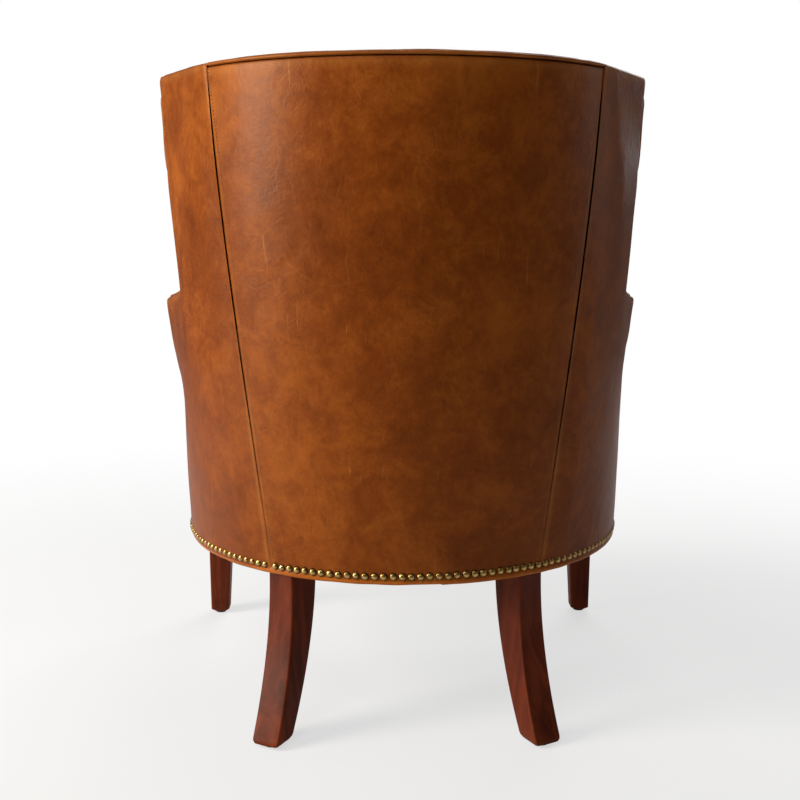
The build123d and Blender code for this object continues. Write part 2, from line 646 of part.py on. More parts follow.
def make_cushion():
    low, high = CUSHION_BOTTOM, CUSHION_BOTTOM + CUSHION_THICK
    outside = cushion_slab(0, low, high)
    keep("seat_cushion_cover", outside - cushion_slab(COVER_THICK, low + COVER_THICK, high - COVER_THICK))
    inner = COVER_THICK + GAP
    keep("seat_cushion_core", cushion_slab(inner, low + inner, high - inner))
    top_welt_low, bottom_welt_low = high - WELT_HIGH - WELT_FROM_EDGE, low + WELT_FROM_EDGE
    for name, welt_low in (("cushion_top_welt", top_welt_low), ("cushion_bottom_welt", bottom_welt_low)):
        ring = cushion_slab(-WELT_OUT, welt_low, welt_low + WELT_HIGH)
        keep(name, ring - cushion_slab(-FIT_GAP, low, high))
    radius, centre_y, _ = shell_at(low)
    back_radius = radius - wall_at(low) - CUSHION_GAP
    middle = (low + high) / 2
    zip_radius = back_radius + 0.2
    keep("cushion_zip", arc_strip(zip_radius, zip_radius + ZIP_THICK, centre_y, -ZIP_HALF_ANGLE, ZIP_HALF_ANGLE,
                                  middle - ZIP_HEIGHT / 2, middle + ZIP_HEIGHT / 2))
    slider_radius = zip_radius + ZIP_THICK + SLIDER_GAP
    reach = SLIDER_LONG / radians(slider_radius)
    keep("zip_slider", arc_strip(slider_radius, slider_radius + SLIDER_THICK, centre_y,
                                 ZIP_HALF_ANGLE - 1 - reach, ZIP_HALF_ANGLE - 1,
                                 middle - SLIDER_HIGH / 2, middle + SLIDER_HIGH / 2))


def write_parts():
    os.makedirs("parts", exist_ok=True)
    for name, solids in parts.items():
        shape = solids[0] if len(solids) == 1 else Compound(children=list(solids))
        export_step(shape, "parts/" + name + ".step")
        print(name, len(solids), "solid(s)")


make_outside_covers()
make_outer_felt()
make_inside_covers()
make_inside_foam()
make_back_frame()
make_seat_frame()
make_side_frames()
make_back_legs()
make_front_legs()
make_leg_fittings()
make_corner_blocks()
keep("corner_block_screws", corner_screws())
make_nails()
make_base_trim()
make_deck()
make_springs()
make_webbing()
make_dust_cover()
make_cushion()
write_parts()
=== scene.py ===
import json
import math

import bmesh
import bpy
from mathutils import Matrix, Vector, noise


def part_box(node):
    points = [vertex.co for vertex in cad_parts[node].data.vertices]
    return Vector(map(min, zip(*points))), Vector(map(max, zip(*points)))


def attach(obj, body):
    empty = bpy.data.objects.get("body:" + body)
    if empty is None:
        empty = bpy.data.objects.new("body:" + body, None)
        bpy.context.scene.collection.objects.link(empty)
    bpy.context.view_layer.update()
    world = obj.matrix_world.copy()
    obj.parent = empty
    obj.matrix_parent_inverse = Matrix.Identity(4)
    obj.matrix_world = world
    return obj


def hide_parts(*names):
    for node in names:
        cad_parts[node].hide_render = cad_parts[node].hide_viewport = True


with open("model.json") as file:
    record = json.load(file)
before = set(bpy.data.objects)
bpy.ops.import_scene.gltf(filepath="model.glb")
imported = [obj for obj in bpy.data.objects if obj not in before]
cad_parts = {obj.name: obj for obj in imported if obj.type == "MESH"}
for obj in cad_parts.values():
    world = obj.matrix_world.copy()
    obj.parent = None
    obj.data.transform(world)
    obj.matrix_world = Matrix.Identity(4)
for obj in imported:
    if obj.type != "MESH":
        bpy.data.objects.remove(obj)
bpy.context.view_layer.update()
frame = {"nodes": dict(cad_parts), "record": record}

print("frame loaded:", len(frame["nodes"]), "nodes")

chairBody, cushionBody = "chair", "cushion"


# The shell's outside. Each level is height, radius of the round back, lean of the back, flare of the sides.
shell = {
    "levels": (
        (0.258, 0.383, 0.000, 3.0),
        (0.400, 0.386, 0.010, 6.0),
        (0.550, 0.388, 0.021, 12.0),
        (0.660, 0.388, 0.028, 15.5),
        (0.760, 0.388, 0.035, 20.0),
        (0.900, 0.384, 0.043, 23.0),
        (1.050, 0.374, 0.052, 27.0),
    ),
    "rearY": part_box("base_band")[1].y - 0.0008,
    "wallFoot": 0.090,          # thickness of the upholstered wall low down and at the top
    "wallTop": 0.062,
    "seamLow": (0.214, 0.280),  # outside seam: half width, height
    "seamHigh": (0.303, 1.045),
    "insideSeamLow": (0.176, 0.280),
    "insideSeamHigh": (0.226, 1.045),
}
columnLength = 0.72             # longest way down a side panel, which sets its number of rows
footZ = shell["levels"][0][0]
topZ = shell["levels"][-1][0]

# Side view of the wings and arms from the wing's tip down to the foot: distance forward of the rear, height.
frontOutline = (
    (0.304, 1.050), (0.3030, 1.038), (0.299, 0.980), (0.3080, 0.925), (0.2985, 0.890), (0.239, 0.851),
    (0.1900, 0.803), (0.1775, 0.760), (0.190, 0.723), (0.261, 0.700), (0.340, 0.684), (0.420, 0.673),
    (0.505, 0.665), (0.538, 0.660), (0.561, 0.641), (0.570, 0.610), (0.602, 0.480), (0.640, 0.375),
    (0.655, 0.335), (0.655, 0.300), (0.655, footZ),
)


def bell(away, width):
    # 1 at no distance, falling off smoothly within a few widths.
    return math.exp(-(away / width) ** 2)


def hermite(before, low, high, after, share):
    # Smooth value between low and high, with the slopes of their neighbours.
    inSlope, outSlope = (high - before) / 2, (after - low) / 2
    cube, square = share ** 3, share ** 2
    return ((2 * cube - 3 * square + 1) * low + (cube - 2 * square + share) * inSlope
            + (3 * square - 2 * cube) * high + (cube - square) * outSlope)


def shellAt(z):
    # Radius, y of the arc's centre and flare of the shell at one height.
    levels = shell["levels"]
    index = max(i for i in range(len(levels) - 1) if z >= levels[i][0] or i == 0)
    low, high = levels[index], levels[index + 1]
    before, after = levels[max(index - 1, 0)], levels[min(index + 2, len(levels) - 1)]
    share = (z - low[0]) / (high[0] - low[0])
    radius, lean, flare = (hermite(before[k], low[k], high[k], after[k], share) for k in (1, 2, 3))
    return radius, shell["rearY"] + lean - radius, math.radians(flare)


def wallAt(z):
    share = (z - footZ) / (topZ - footZ)
    return shell["wallFoot"] + (shell["wallTop"] - shell["wallFoot"]) * share


def shellPoint(s, z, inset=0.0):
    # s runs round the outside from the middle of the back, towards +X.
    radius, centreY, flare = shellAt(z)
    arcEnd = radius * (math.pi / 2 - flare)
    angle = min(abs(s), arcEnd) / radius
    rest = max(abs(s) - arcEnd, 0.0)
    x = (radius - inset) * math.sin(angle) + rest * math.sin(flare)
    y = centreY + (radius - inset) * math.cos(angle) - rest * math.cos(flare)
    return Vector((math.copysign(x, s), y, z))


def sOfX(x, z):
    radius = shellAt(z)[0]
    return math.copysign(radius * math.asin(min(abs(x) / radius, 1.0)), x)


def sOfDepth(depth, z):
    radius, centreY, flare = shellAt(z)
    y = shell["rearY"] - depth
    endY = centreY + radius * math.sin(flare)
    if y > endY:
        return radius * math.acos(max(-1.0, min((y - centreY) / radius, 1.0)))
    return radius * (math.pi / 2 - flare) + (endY - y) / math.cos(flare)


def seamX(z, low, high):
    return low[0] + (high[0] - low[0]) * (z - low[1]) / (high[1] - low[1])


def outsideSeam(z):
    return sOfX(seamX(z, shell["seamLow"], shell["seamHigh"]), z)


def insideSeam(z):
    return sOfX(seamX(z, shell["insideSeamLow"], shell["insideSeamHigh"]), z) * 1.25


def smoothLine(points, rounds=3):
    # Corner cutting that keeps the two ends.
    for _ in range(rounds):
        cut = [points[0]]
        for a, b in zip(points, points[1:]):
            cut.append(tuple(p * 0.75 + q * 0.25 for p, q in zip(a, b)))
            cut.append(tuple(p * 0.25 + q * 0.75 for p, q in zip(a, b)))
        points = cut + [points[-1]]
    return points


def lengthsAlong(points):
    total = [0.0]
    for a, b in zip(points, points[1:]):
        total.append(total[-1] + math.dist(a, b))
    return total


def resample(points, shares):
    # Points at given shares of a line's length.
    lengths = lengthsAlong(points)
    made, index = [], 0
    for share in shares:
        target = share * lengths[-1]
        while index < len(points) - 2 and lengths[index + 1] < target:
            index += 1
        span = lengths[index + 1] - lengths[index] or 1.0
        mix = min(max((target - lengths[index]) / span, 0.0), 1.0)
        made.append(tuple(p + (q - p) * mix for p, q in zip(points[index], points[index + 1])))
    return made


def stepped(length, step, edges=(0.0, 0.0012, 0.0026, 0.0045, 0.0075)):
    # Shares of a length: close together at both ends, even between them.
    inner = edges[-1]
    count = max(int((length - 2 * inner) / step), 2)
    middle = [inner + (length - 2 * inner) * k / count for k in range(1, count)]
    places = list(edges) + middle + [length - edge for edge in reversed(edges)]
    return [place / length for place in places]


def outlineLine(topHeight, startS):
    # The shell's front edge as (s, z): along the top from startS, down the wing and round the arm.
    points = [(startS, topHeight)]
    tipS = sOfDepth(frontOutline[0][0], topZ)
    for k in range(1, 8):
        points.append((startS + (tipS - 0.012 - startS) * k / 7, topHeight))
    points += [(sOfDepth(depth, z), min(z, topHeight)) for depth, z in frontOutline]
    return smoothLine(points)


def gridMesh(name, rows, closed=False):
    # One mesh from rows of points; rows and columns are shared by the faces between them.
    mesh = bpy.data.meshes.new(name)
    width = len(rows[0])
    vertices = [point for row in rows for point in row]
    faces = []
    for j in range(len(rows) - 1):
        for i in range(width if closed else width - 1):
            k = (i + 1) % width
            faces.append((j * width + i, j * width + k, (j + 1) * width + k, (j + 1) * width + i))
    mesh.from_pydata(vertices, [], faces)
    return mesh


def addPiece(name, mesh, material, body, replaced=(), smooth=True, outward=None):
    work = bmesh.new()
    work.from_mesh(mesh)
    bmesh.ops.remove_doubles(work, verts=work.verts, dist=1e-6)
    bmesh.ops.dissolve_degenerate(work, dist=1e-6, edges=work.edges)
    work.faces.ensure_lookup_table()
    if outward is None:
        bmesh.ops.recalc_face_normals(work, faces=work.faces)
    else:
        face = max(work.faces, key=lambda f: f.calc_area())
        if face.normal.dot(outward(face.calc_center_median())) < 0:
            bmesh.ops.reverse_faces(work, faces=work.faces)
    work.to_mesh(mesh)
    work.free()
    piece = addObject(name, mesh)
    mesh.materials.clear()
    mesh.materials.append(material)
    for polygon in mesh.polygons:
        polygon.use_smooth = smooth
    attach(piece, body)
    if replaced:
        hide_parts(*replaced)
    print("  ", name, len(mesh.polygons), "faces")
    return piece


def storeMarks(mesh, wear, shade=None):
    # How worn and how shadowed each point is, for the materials to read.
    for name, values in (("wear", wear), ("shade", shade or [0.0] * len(mesh.vertices))):
        layer = mesh.attributes.new(name, "FLOAT", "POINT")
        layer.data.foreach_set("value", values)


def closeEnds(mesh, cutUp=False):
    # Fills the open ends, each with one flat face unless it is to be cut up.
    work = bmesh.new()
    work.from_mesh(mesh)
    bmesh.ops.holes_fill(work, edges=[e for e in work.edges if e.is_boundary], sides=0)
    if cutUp:
        bmesh.ops.triangulate(work, faces=[f for f in work.faces if len(f.verts) > 4])
    work.to_mesh(mesh)
    work.free()


def evaluatedMesh(holder):
    # What the object's modifiers give, as a plain mesh.
    return bpy.data.meshes.new_from_object(holder.evaluated_get(bpy.context.evaluated_depsgraph_get()))


def addObject(name, data):
    made = bpy.data.objects.new(name, data)
    bpy.context.scene.collection.objects.link(made)
    return made


class Wire:
    # A socket that adds its own Math nodes when it is used in an expression.
    def __init__(self, tree, socket):
        self.tree, self.socket = tree, socket

    def math(self, operation, *values):
        made = self.tree.node("ShaderNodeMath", {"operation": operation}, dict(enumerate(values)))
        return made.out(0)

    def __add__(self, other):
        return self.math("ADD", self, other)

    def __radd__(self, other):
        return self.math("ADD", other, self)

    def __sub__(self, other):
        return self.math("SUBTRACT", self, other)

    def __rsub__(self, other):
        return self.math("SUBTRACT", other, self)

    def __mul__(self, other):
        return self.math("MULTIPLY", self, other)

    def __rmul__(self, other):
        return self.math("MULTIPLY", other, self)

    def clamped(self):
        return self.math("MINIMUM", self.math("MAXIMUM", self, 0.0), 1.0)

    def between(self, low, high):
        # 0 below low, 1 above high, smooth in between.
        made = self.tree.node("ShaderNodeMapRange", {"interpolation_type": "SMOOTHSTEP"},
                              {"Value": self, "From Min": low, "From Max": high})
        return made.out(0)


class Made:
    # A node with its outputs as wires.
    def __init__(self, tree, node):
        self.tree, self.raw = tree, node

    def out(self, key):
        return Wire(self.tree, self.raw.outputs[key])


class Finish:
    # A material and its node tree.
    def __init__(self, name):
        self.material = bpy.data.materials.new(name)
        self.material.use_nodes = True
        self.nodes = self.material.node_tree.nodes
        self.links = self.material.node_tree.links
        self.shader = self.nodes["Principled BSDF"]
        self.place = self.node("ShaderNodeTexCoord").out("Object")

    def node(self, kind, settings=None, inputs=None):
        made = self.nodes.new(kind)
        for key, value in (settings or {}).items():
            if key == "stops":
                ramp = made.color_ramp
                while len(ramp.elements) < len(value):
                    ramp.elements.new(0.5)
                for element, (position, colour) in zip(ramp.elements, value):
                    element.position, element.color = position, (*colour, 1.0)
            else:
                setattr(made, key, value)
        for key, value in (inputs or {}).items():
            self.feed(made.inputs[key], value)
        return Made(self, made)

    def feed(self, socket, value):
        if isinstance(value, Wire):
            self.links.new(value.socket, socket)
        elif socket.type == "RGBA" and len(value) == 3:
            socket.default_value = (*value, 1.0)
        else:
            socket.default_value = value

    def set(self, **values):
        # Shader inputs by name, with underscores for spaces.
        for key, value in values.items():
            self.feed(self.shader.inputs[key.replace("_", " ")], value)

    def noise(self, scale, detail=4.0, roughness=0.55, distortion=0.0, at=None):
        made = self.node("ShaderNodeTexNoise", {}, {
            "Vector": at or self.place, "Scale": scale, "Detail": detail,
            "Roughness": roughness, "Distortion": distortion})
        return made.out(0)

    def cells(self, scale, feature, at):
        made = self.node("ShaderNodeTexVoronoi", {"feature": feature}, {"Vector": at, "Scale": scale})
        return made.out("Distance")

    def moved(self, turn=(0, 0, 0), size=(1, 1, 1)):
        made = self.node("ShaderNodeMapping", {}, {
            "Vector": self.place, "Rotation": [math.radians(a) for a in turn], "Scale": size})
        return made.out(0)

    def warped(self, amount, scale, detail=3.0):
        # Object place pushed about by a noise, so that patterns on it wander.
        push = self.node("ShaderNodeTexNoise", {}, {"Vector": self.place, "Scale": scale, "Detail": detail})
        centred = self.node("ShaderNodeVectorMath", {"operation": "SUBTRACT"},
                            {0: push.out("Color"), 1: (0.5, 0.5, 0.5)})
        scaled = self.node("ShaderNodeVectorMath", {"operation": "SCALE"}, {0: centred.out(0), "Scale": amount})
        added = self.node("ShaderNodeVectorMath", {"operation": "ADD"}, {0: self.place, 1: scaled.out(0)})
        return added.out(0)

    def blend(self, factor, low, high):
        made = self.node("ShaderNodeMix", {"data_type": "RGBA", "clamp_factor": True},
                         {0: factor, 6: low, 7: high})
        return made.out(2)

    def ramp(self, factor, stops):
        return self.node("ShaderNodeValToRGB", {"stops": stops}, {0: factor}).out(0)

    def attribute(self, name):
        return self.node("ShaderNodeAttribute", {"attribute_name": name}).out("Fac")

    def bump(self, height, distance, strength=1.0):
        inputs = {"Height": height, "Distance": distance, "Strength": strength}
        return self.node("ShaderNodeBump", {}, inputs).out(0)


leatherLook = {
    "dark": (0.078, 0.0135, 0.0008),
    "middle": (0.195, 0.0400, 0.0026),
    "light": (0.340, 0.0860, 0.0075),
    "pale": (0.560, 0.2150, 0.0480),
    "roughness": 0.37,
    "coat": 0.03,
    "specular": 0.17,
    "creases": 0.06,            # how much each kind of mark lightens the leather
    "fineCreases": 0.05,
    "scuffs": 0.42,
}


def makeLeather(name, lightness=1.0, warmth=0.0):
    # Aged pull-up leather: cloudy colour, marbling, pale creases and scuffs, fine grain.
    look = leatherLook
    finish = Finish(name)
    dark, middle, light, pale = (tuple(min(c * lightness, 1.0) for c in look[key])
                                 for key in ("dark", "middle", "light", "pale"))
    clouds = finish.noise(3.1, 3.0, 0.55, 0.3)
    marble = finish.noise(19.0, 8.0, 0.68, 0.5)
    fleck = finish.noise(90.0, 6.0, 0.7, 0.3)
    tone = (clouds * 0.42 + marble * 0.42 + fleck * 0.20 + warmth).clamped()
    colour = finish.ramp(tone, ((0.30, dark), (0.50, middle), (0.68, light), (0.92, pale)))

    wander = finish.warped(0.045, 11.0)
    creaseNet = finish.cells(6.5, "DISTANCE_TO_EDGE", wander)
    creaseMask = finish.noise(5.2, 2.0).between(0.50, 0.70)
    crease = (1.0 - creaseNet.between(0.0, 0.014)) * creaseMask
    fineWander = finish.warped(0.020, 30.0)
    fineNet = finish.cells(30.0, "DISTANCE_TO_EDGE", fineWander)
    fineCrease = (1.0 - fineNet.between(0.0, 0.055)) * finish.noise(9.0, 2.0).between(0.50, 0.68)
    scratchA = finish.noise(1.0, 3.0, 0.6, 0.2, finish.moved((0, 38, 0), (150.0, 150.0, 5.0))).between(0.66, 0.74)
    scratchB = finish.noise(1.0, 3.0, 0.6, 0.2, finish.moved((0, -62, 0), (130.0, 130.0, 4.0))).between(0.67, 0.75)
    scratch = (scratchA + scratchB) * finish.noise(6.0, 2.0).between(0.46, 0.66)
    wear = finish.attribute("wear")
    pullUp = (crease * look["creases"] + fineCrease * look["fineCreases"] + scratch * look["scuffs"]).clamped()
    colour = finish.blend(pullUp, colour, pale)
    colour = finish.blend((wear * (0.20 + marble * 0.5)).clamped(), colour, pale)
    colour = finish.blend(finish.attribute("shade"), colour, (dark[0] * 0.35, dark[1] * 0.3, dark[2] * 0.3))

    grain = finish.cells(620.0, "SMOOTH_F1", finish.warped(0.0015, 260.0))
    wrinkle = finish.noise(42.0, 6.0, 0.62, 2.2)
    soft = finish.noise(12.0, 3.0, 0.5, 1.0)
    relief = soft * 1.0 + wrinkle * 0.40 + grain * 0.05 - crease * 0.07 - fineCrease * 0.10 - scratch * 0.03
    finish.set(
        Base_Color=colour,
        Roughness=(look["roughness"] - 0.13 + marble * 0.22 + fleck * 0.10 - wear * 0.06).clamped(),
        Normal=finish.bump(relief, 0.0022, 0.75),
        Coat_Weight=look["coat"], Coat_Roughness=0.3, Specular_IOR_Level=look["specular"],
        Specular_Tint=(1.0, 0.74, 0.50, 1.0))
    return finish.material


legLook = {
    "dark": (0.028, 0.0040, 0.0016),
    "middle": (0.115, 0.0180, 0.0052),
    "light": (0.235, 0.0400, 0.0100),
    "roughness": 0.42,
}


def makeLegWood():
    # Mahogany stain under satin lacquer, grain running down the leg.
    finish = Finish("legWood")
    grainPlace = finish.moved((0, 0, 0), (1.0, 1.0, 0.055))
    broad = finish.noise(38.0, 4.0, 0.6, 1.0, grainPlace)
    pores = finish.noise(420.0, 3.0, 0.7, 0.3, grainPlace)
    blotch = finish.noise(9.0, 3.0, 0.55, 0.5)
    tone = (broad * 0.52 + blotch * 0.34 + pores * 0.16).clamped()
    look = legLook
    colour = finish.ramp(tone, ((0.32, look["dark"]), (0.52, look["middle"]), (0.74, look["light"])))
    colour = finish.blend(pores.between(0.60, 0.72) * 0.5, colour, look["dark"])
    colour = finish.blend((finish.attribute("wear") * 0.45).clamped(), colour, look["light"])
    finish.set(Base_Color=colour, Roughness=(look["roughness"] + blotch * 0.14).clamped(),
               Normal=finish.bump(pores * 0.4 + broad * 0.3, 0.0004, 0.5),
               Coat_Weight=0.02, Coat_Roughness=0.3, Specular_IOR_Level=0.14, Specular_Tint=(1.0, 0.80, 0.66, 1.0))
    return finish.material


# The rim colour is painted shade; the crown colour is rubbed brass and a painted highlight.
nailLook = {"shadow": (0.050, 0.032, 0.008), "body": (0.270, 0.165, 0.045), "rubbedAndHighlight": (0.720, 0.500, 0.200)}


def makeNailBrass():
    # Antiqued brass with painted light: painted shade darkens the rim where the dome meets the leather, and the crown
    # is rubbed bright and carries a painted highlight.
    finish = Finish("nailBrass")
    crown = finish.attribute("crown")
    patina = finish.noise(260.0, 4.0, 0.65)
    # Tone follows dome height: painted shade towards the rim, a painted highlight on the crown, with patina noise.
    tone = (crown * 0.85 + patina * 0.35 - 0.12).clamped()
    look = nailLook
    colour = finish.ramp(tone, ((0.15, look["shadow"]), (0.62, look["body"]), (1.0, look["rubbedAndHighlight"])))
    finish.set(Base_Color=colour, Metallic=1.0, Roughness=(0.34 - crown * 0.14 + patina * 0.12).clamped(),
               Normal=finish.bump(patina, 0.0003, 0.5))
    return finish.material


def makePlain(name, low, high, scale, roughness, metallic=0.0, grain=(1.0, 1.0, 1.0), relief=0.0003):
    # Small hidden parts: two-tone noise with a fine bump.
    finish = Finish(name)
    place = finish.moved(size=grain)
    broad = finish.noise(scale, 5.0, 0.6, 0.6, place)
    fine = finish.noise(scale * 9, 3.0, 0.6, 0.0, place)
    colour = finish.ramp((broad * 0.7 + fine * 0.3).clamped(), ((0.35, low), (0.65, high)))
    finish.set(Base_Color=colour, Roughness=(roughness - 0.08 + fine * 0.16).clamped(), Metallic=metallic,
               Normal=finish.bump(broad * 0.5 + fine * 0.5, relief, 0.6))
    return finish.material


def makeWoven(name, low, high, threads):
    # Cloth with crossing threads, drawn from the object's own place.
    finish = Finish(name)
    axes = finish.node("ShaderNodeSeparateXYZ", {}, {0: finish.moved(size=(threads,) * 3)})
    across = finish.node("ShaderNodeMath", {"operation": "SINE"}, {0: axes.out("X")}).out(0)
    along = finish.node("ShaderNodeMath", {"operation": "SINE"}, {0: axes.out("Y") + axes.out("Z")}).out(0)
    weave = (across * along * 0.5 + 0.5).clamped()
    dust = finish.noise(30.0, 4.0)
    finish.set(Base_Color=finish.ramp((weave * 0.6 + dust * 0.4).clamped(), ((0.3, low), (0.7, high))),
               Roughness=0.9, Normal=finish.bump(weave, 0.0003, 0.6))
    return finish.material


print("materials")
leather = makeLeather("leather")
leatherEdge = makeLeather("leatherEdge", 1.35, 0.08)
legWood = makeLegWood()
nailBrass = makeNailBrass()
threadLook = makePlain("thread", (0.05, 0.022, 0.008), (0.10, 0.045, 0.018), 300.0, 0.8)
frameWood = makePlain("frameWood", (0.42, 0.27, 0.14), (0.62, 0.44, 0.26), 26.0, 0.6, grain=(1.0, 1.0, 0.12))
foamLook = makePlain("foam", (0.72, 0.62, 0.42), (0.86, 0.78, 0.60), 160.0, 0.95, relief=0.0010)
feltLook = makePlain("felt", (0.42, 0.40, 0.36), (0.60, 0.58, 0.53), 240.0, 0.95, relief=0.0008)
webLook = makeWoven("webbing", (0.30, 0.21, 0.11), (0.56, 0.43, 0.26), 1400.0)
clothLook = makeWoven("liningCloth", (0.010, 0.010, 0.011), (0.045, 0.044, 0.046), 2600.0)
zincLook = makePlain("zinc", (0.42, 0.43, 0.44), (0.66, 0.66, 0.65), 120.0, 0.38, 1.0)
springLook = makePlain("springSteel", (0.10, 0.10, 0.11), (0.26, 0.26, 0.27), 90.0, 0.42, 1.0)
glideLook = makePlain("glide", (0.030, 0.026, 0.022), (0.060, 0.052, 0.044), 90.0, 0.55)
zipTapeLook = makeWoven("zipTape", (0.040, 0.018, 0.008), (0.110, 0.055, 0.025), 3200.0)
sliderBrass = makePlain("sliderBrass", (0.36, 0.24, 0.09), (0.68, 0.50, 0.24), 220.0, 0.34, 1.0)

slotLooks = {
    "leather": leather, "leather_edge": leatherEdge, "leg_wood": legWood, "frame_wood": frameWood,
    "foam": foamLook, "felt": feltLook, "webbing": webLook, "black_cloth": clothLook,
    "antique_brass": nailBrass, "brass": sliderBrass, "zinc_steel": zincLook, "spring_steel": springLook,
    "glide_plastic": glideLook, "zip_tape": zipTapeLook,
}
for entry in frame["record"]["subparts"]:
    cadPiece = frame["nodes"][entry["node"]]
    if len(cadPiece.material_slots) == 0:
        cadPiece.data.materials.append(None)
    for materialSlot in cadPiece.material_slots:
        materialSlot.material = slotLooks[entry["material_slot"]]


outsideCover = {
    "step": 0.0065,             # size of the mesh's squares
    "turnIn": 0.006,            # radius of the turned edge along the wings and arms
    "puff": 0.0022,             # how far the leather stands off in the middle of a panel
    "unevenness": 0.0011,
    "grooveDepth": 0.0015,
    "grooveWidth": 0.0015,
    "foldHeight": 0.0013,       # raised fold on the side panels, beside the seam
    "foldPlace": 0.0065,
    "foldWidth": 0.0038,
    "rollHeight": 0.0068,       # rolled edge above the back panel
    "bottom": 0.2640,
}


def turnedIn(distance, radius):
    # How far the surface has turned in at a distance from its free edge.
    if distance >= radius:
        return 0.0
    return radius - math.sqrt(max(radius ** 2 - (radius - distance) ** 2, 0.0))


def unevenAt(point, amount):
    broad = noise.noise(point * 7.0) + 0.5 * noise.noise(point * 17.0 + Vector((3, 1, 7)))
    return broad * amount


def coverGrid(upper, lower, downShares, insetAt):
    # Rows of points between two lines of (s, z); insetAt gives the inset at each one.
    rows, marks = [], []
    for j, down in enumerate(downShares):
        row = []
        for i, (high, low) in enumerate(zip(upper, lower)):
            s, z = (a + (b - a) * down for a, b in zip(high, low))
            inset, wear, shade = insetAt(i, j, s, z)
            row.append(shellPoint(s, z, inset))
            marks.append((wear, shade))
        rows.append(row)
    return rows, marks


def seamClosed(z):
    # The outside seams are deep above and pulled flat near the base.
    return 0.15 + 0.85 * min(max((z - 0.36) / 0.16, 0.0), 1.0)


def makeBackPanel():
    look = outsideCover
    high = topZ - look["rollHeight"]
    across = stepped(2 * outsideSeam(high), look["step"])
    upper = [(outsideSeam(high) * (2 * share - 1), high) for share in across]
    lower = [(outsideSeam(look["bottom"]) * (2 * share - 1), look["bottom"]) for share in across]
    down = stepped(high - look["bottom"], look["step"])

    def insetAt(i, j, s, z):
        seamAway = (1 - abs(2 * across[i] - 1)) * outsideSeam(z)
        topAway = down[j] * (high - look["bottom"])
        closed = seamClosed(z)
        groove = look["grooveDepth"] * closed * bell(seamAway, look["grooveWidth"])
        topFold = turnedIn(topAway, 0.0035)
        middle = math.sin(math.pi * across[i]) ** 0.6 * math.sin(math.pi * min(down[j] * 1.05, 1.0)) ** 0.6
        point = shellPoint(s, z)
        puff = look["puff"] * middle + unevenAt(point, look["unevenness"]) * min(seamAway / 0.03, 1.0)
        shade = 0.5 * closed * bell(seamAway, 0.0012) + 0.8 * bell(topAway, 0.0018)
        wear = 0.35 * bell(topAway - 0.008, 0.006) + 0.25 * bell(seamAway - 0.005, 0.003)
        return groove + topFold - puff, wear, min(shade, 1.0)

    rows, marks = coverGrid(upper, lower, down, insetAt)
    mesh = gridMesh("outsideBack", rows)
    storeMarks(mesh, *zip(*marks))
    return addPiece("outsideBack", mesh, leather, chairBody, ["outside_back_panel", "outside_back_felt"],
                    outward=lambda c: Vector((c.x, c.y, 0)))


def sidePanelLines(side):
    look = outsideCover
    line = outlineLine(topZ, outsideSeam(topZ))
    length = lengthsAlong(line)[-1]
    shares = stepped(length, look["step"])
    upper = [(side * s, z) for s, z in resample(line, shares)]
    start, stop = outsideSeam(look["bottom"]), sOfDepth(frontOutline[-1][0], look["bottom"])
    lower = [(side * (start + (stop - start) * share), look["bottom"]) for share in shares]
    return upper, lower, shares, length


def makeSidePanel(name, side, replaced):
    look = outsideCover
    upper, lower, shares, length = sidePanelLines(side)
    down = stepped(columnLength, look["step"])

    def insetAt(i, j, s, z):
        column = math.dist(upper[i], lower[i])
        edgeAway = down[j] * column
        frontAway = (1 - shares[i]) * length
        seamAway = abs(abs(s) - outsideSeam(z))
        groove = look["grooveDepth"] * seamClosed(z) * bell(seamAway, look["grooveWidth"])
        high = min(max((z - 0.45) / 0.2, 0.35), 1.0)
        fold = look["foldHeight"] * high * bell(seamAway - look["foldPlace"], look["foldWidth"])
        edge = turnedIn(min(edgeAway, frontAway), look["turnIn"])
        point = shellPoint(s, z)
        middle = min(edgeAway / 0.05, 1.0) * min(seamAway / 0.05, 1.0)
        puff = look["puff"] * middle + unevenAt(point, look["unevenness"]) * middle
        shade = 0.5 * seamClosed(z) * bell(seamAway, 0.0012)
        wear = 0.45 * bell(edgeAway - 0.006, 0.008)
        wear += (0.5 if z < 0.5 else 0.38) * bell(seamAway - look["foldPlace"], look["foldWidth"])
        return groove + edge - puff - fold, min(wear, 1.0), min(shade, 1.0)

    rows, marks = coverGrid(upper, lower, down, insetAt)
    mesh = gridMesh(name, rows)
    storeMarks(mesh, *zip(*marks))
    return addPiece(name, mesh, leather, chairBody, replaced,
                    outward=lambda c: Vector((c.x, c.y + 0.07, 0)))


print("outside leather")
makeBackPanel()
makeSidePanel("leftOutside", 1, ["left_outside_panel", "left_outside_felt"])
makeSidePanel("rightOutside", -1, ["right_outside_panel", "right_outside_felt"])


rollLook = {"proud": 0.0016, "wall": 0.012, "roundness": 16}


def makeTopRoll():
    # A thin stuffed roll along the top of the back, between the outside seams.
    low, high = topZ - outsideCover["rollHeight"] + 0.0007, topZ
    half = outsideSeam(high) - 0.0004
    count = int(2 * half / 0.006)
    middle, tall = (low + high) / 2, (high - low) / 2
    rows = []
    for i in range(count + 1):
        s = half * (2 * i / count - 1)
        close = min(1.0, max((half - abs(s)) / 0.004, 0.25)) ** 0.5
        lump = noise.noise(Vector((s * 40, 2.0, 0.0))) * 0.0003
        ring = []
        for k in range(rollLook["roundness"]):
            turn = 2 * math.pi * k / rollLook["roundness"]
            inward = rollLook["wall"] / 2 - rollLook["proud"] - lump - rollLook["wall"] / 2 * math.cos(turn)
            ring.append(shellPoint(s, middle + tall * close * math.sin(turn), inward))
        rows.append(ring)
    mesh = gridMesh("topRoll", rows, closed=True)
    closeEnds(mesh)
    storeMarks(mesh, [0.40 + 0.3 * noise.noise(v.co * 30) for v in mesh.vertices])
    return addPiece("topRoll", mesh, leather, chairBody, ["top_roll"])


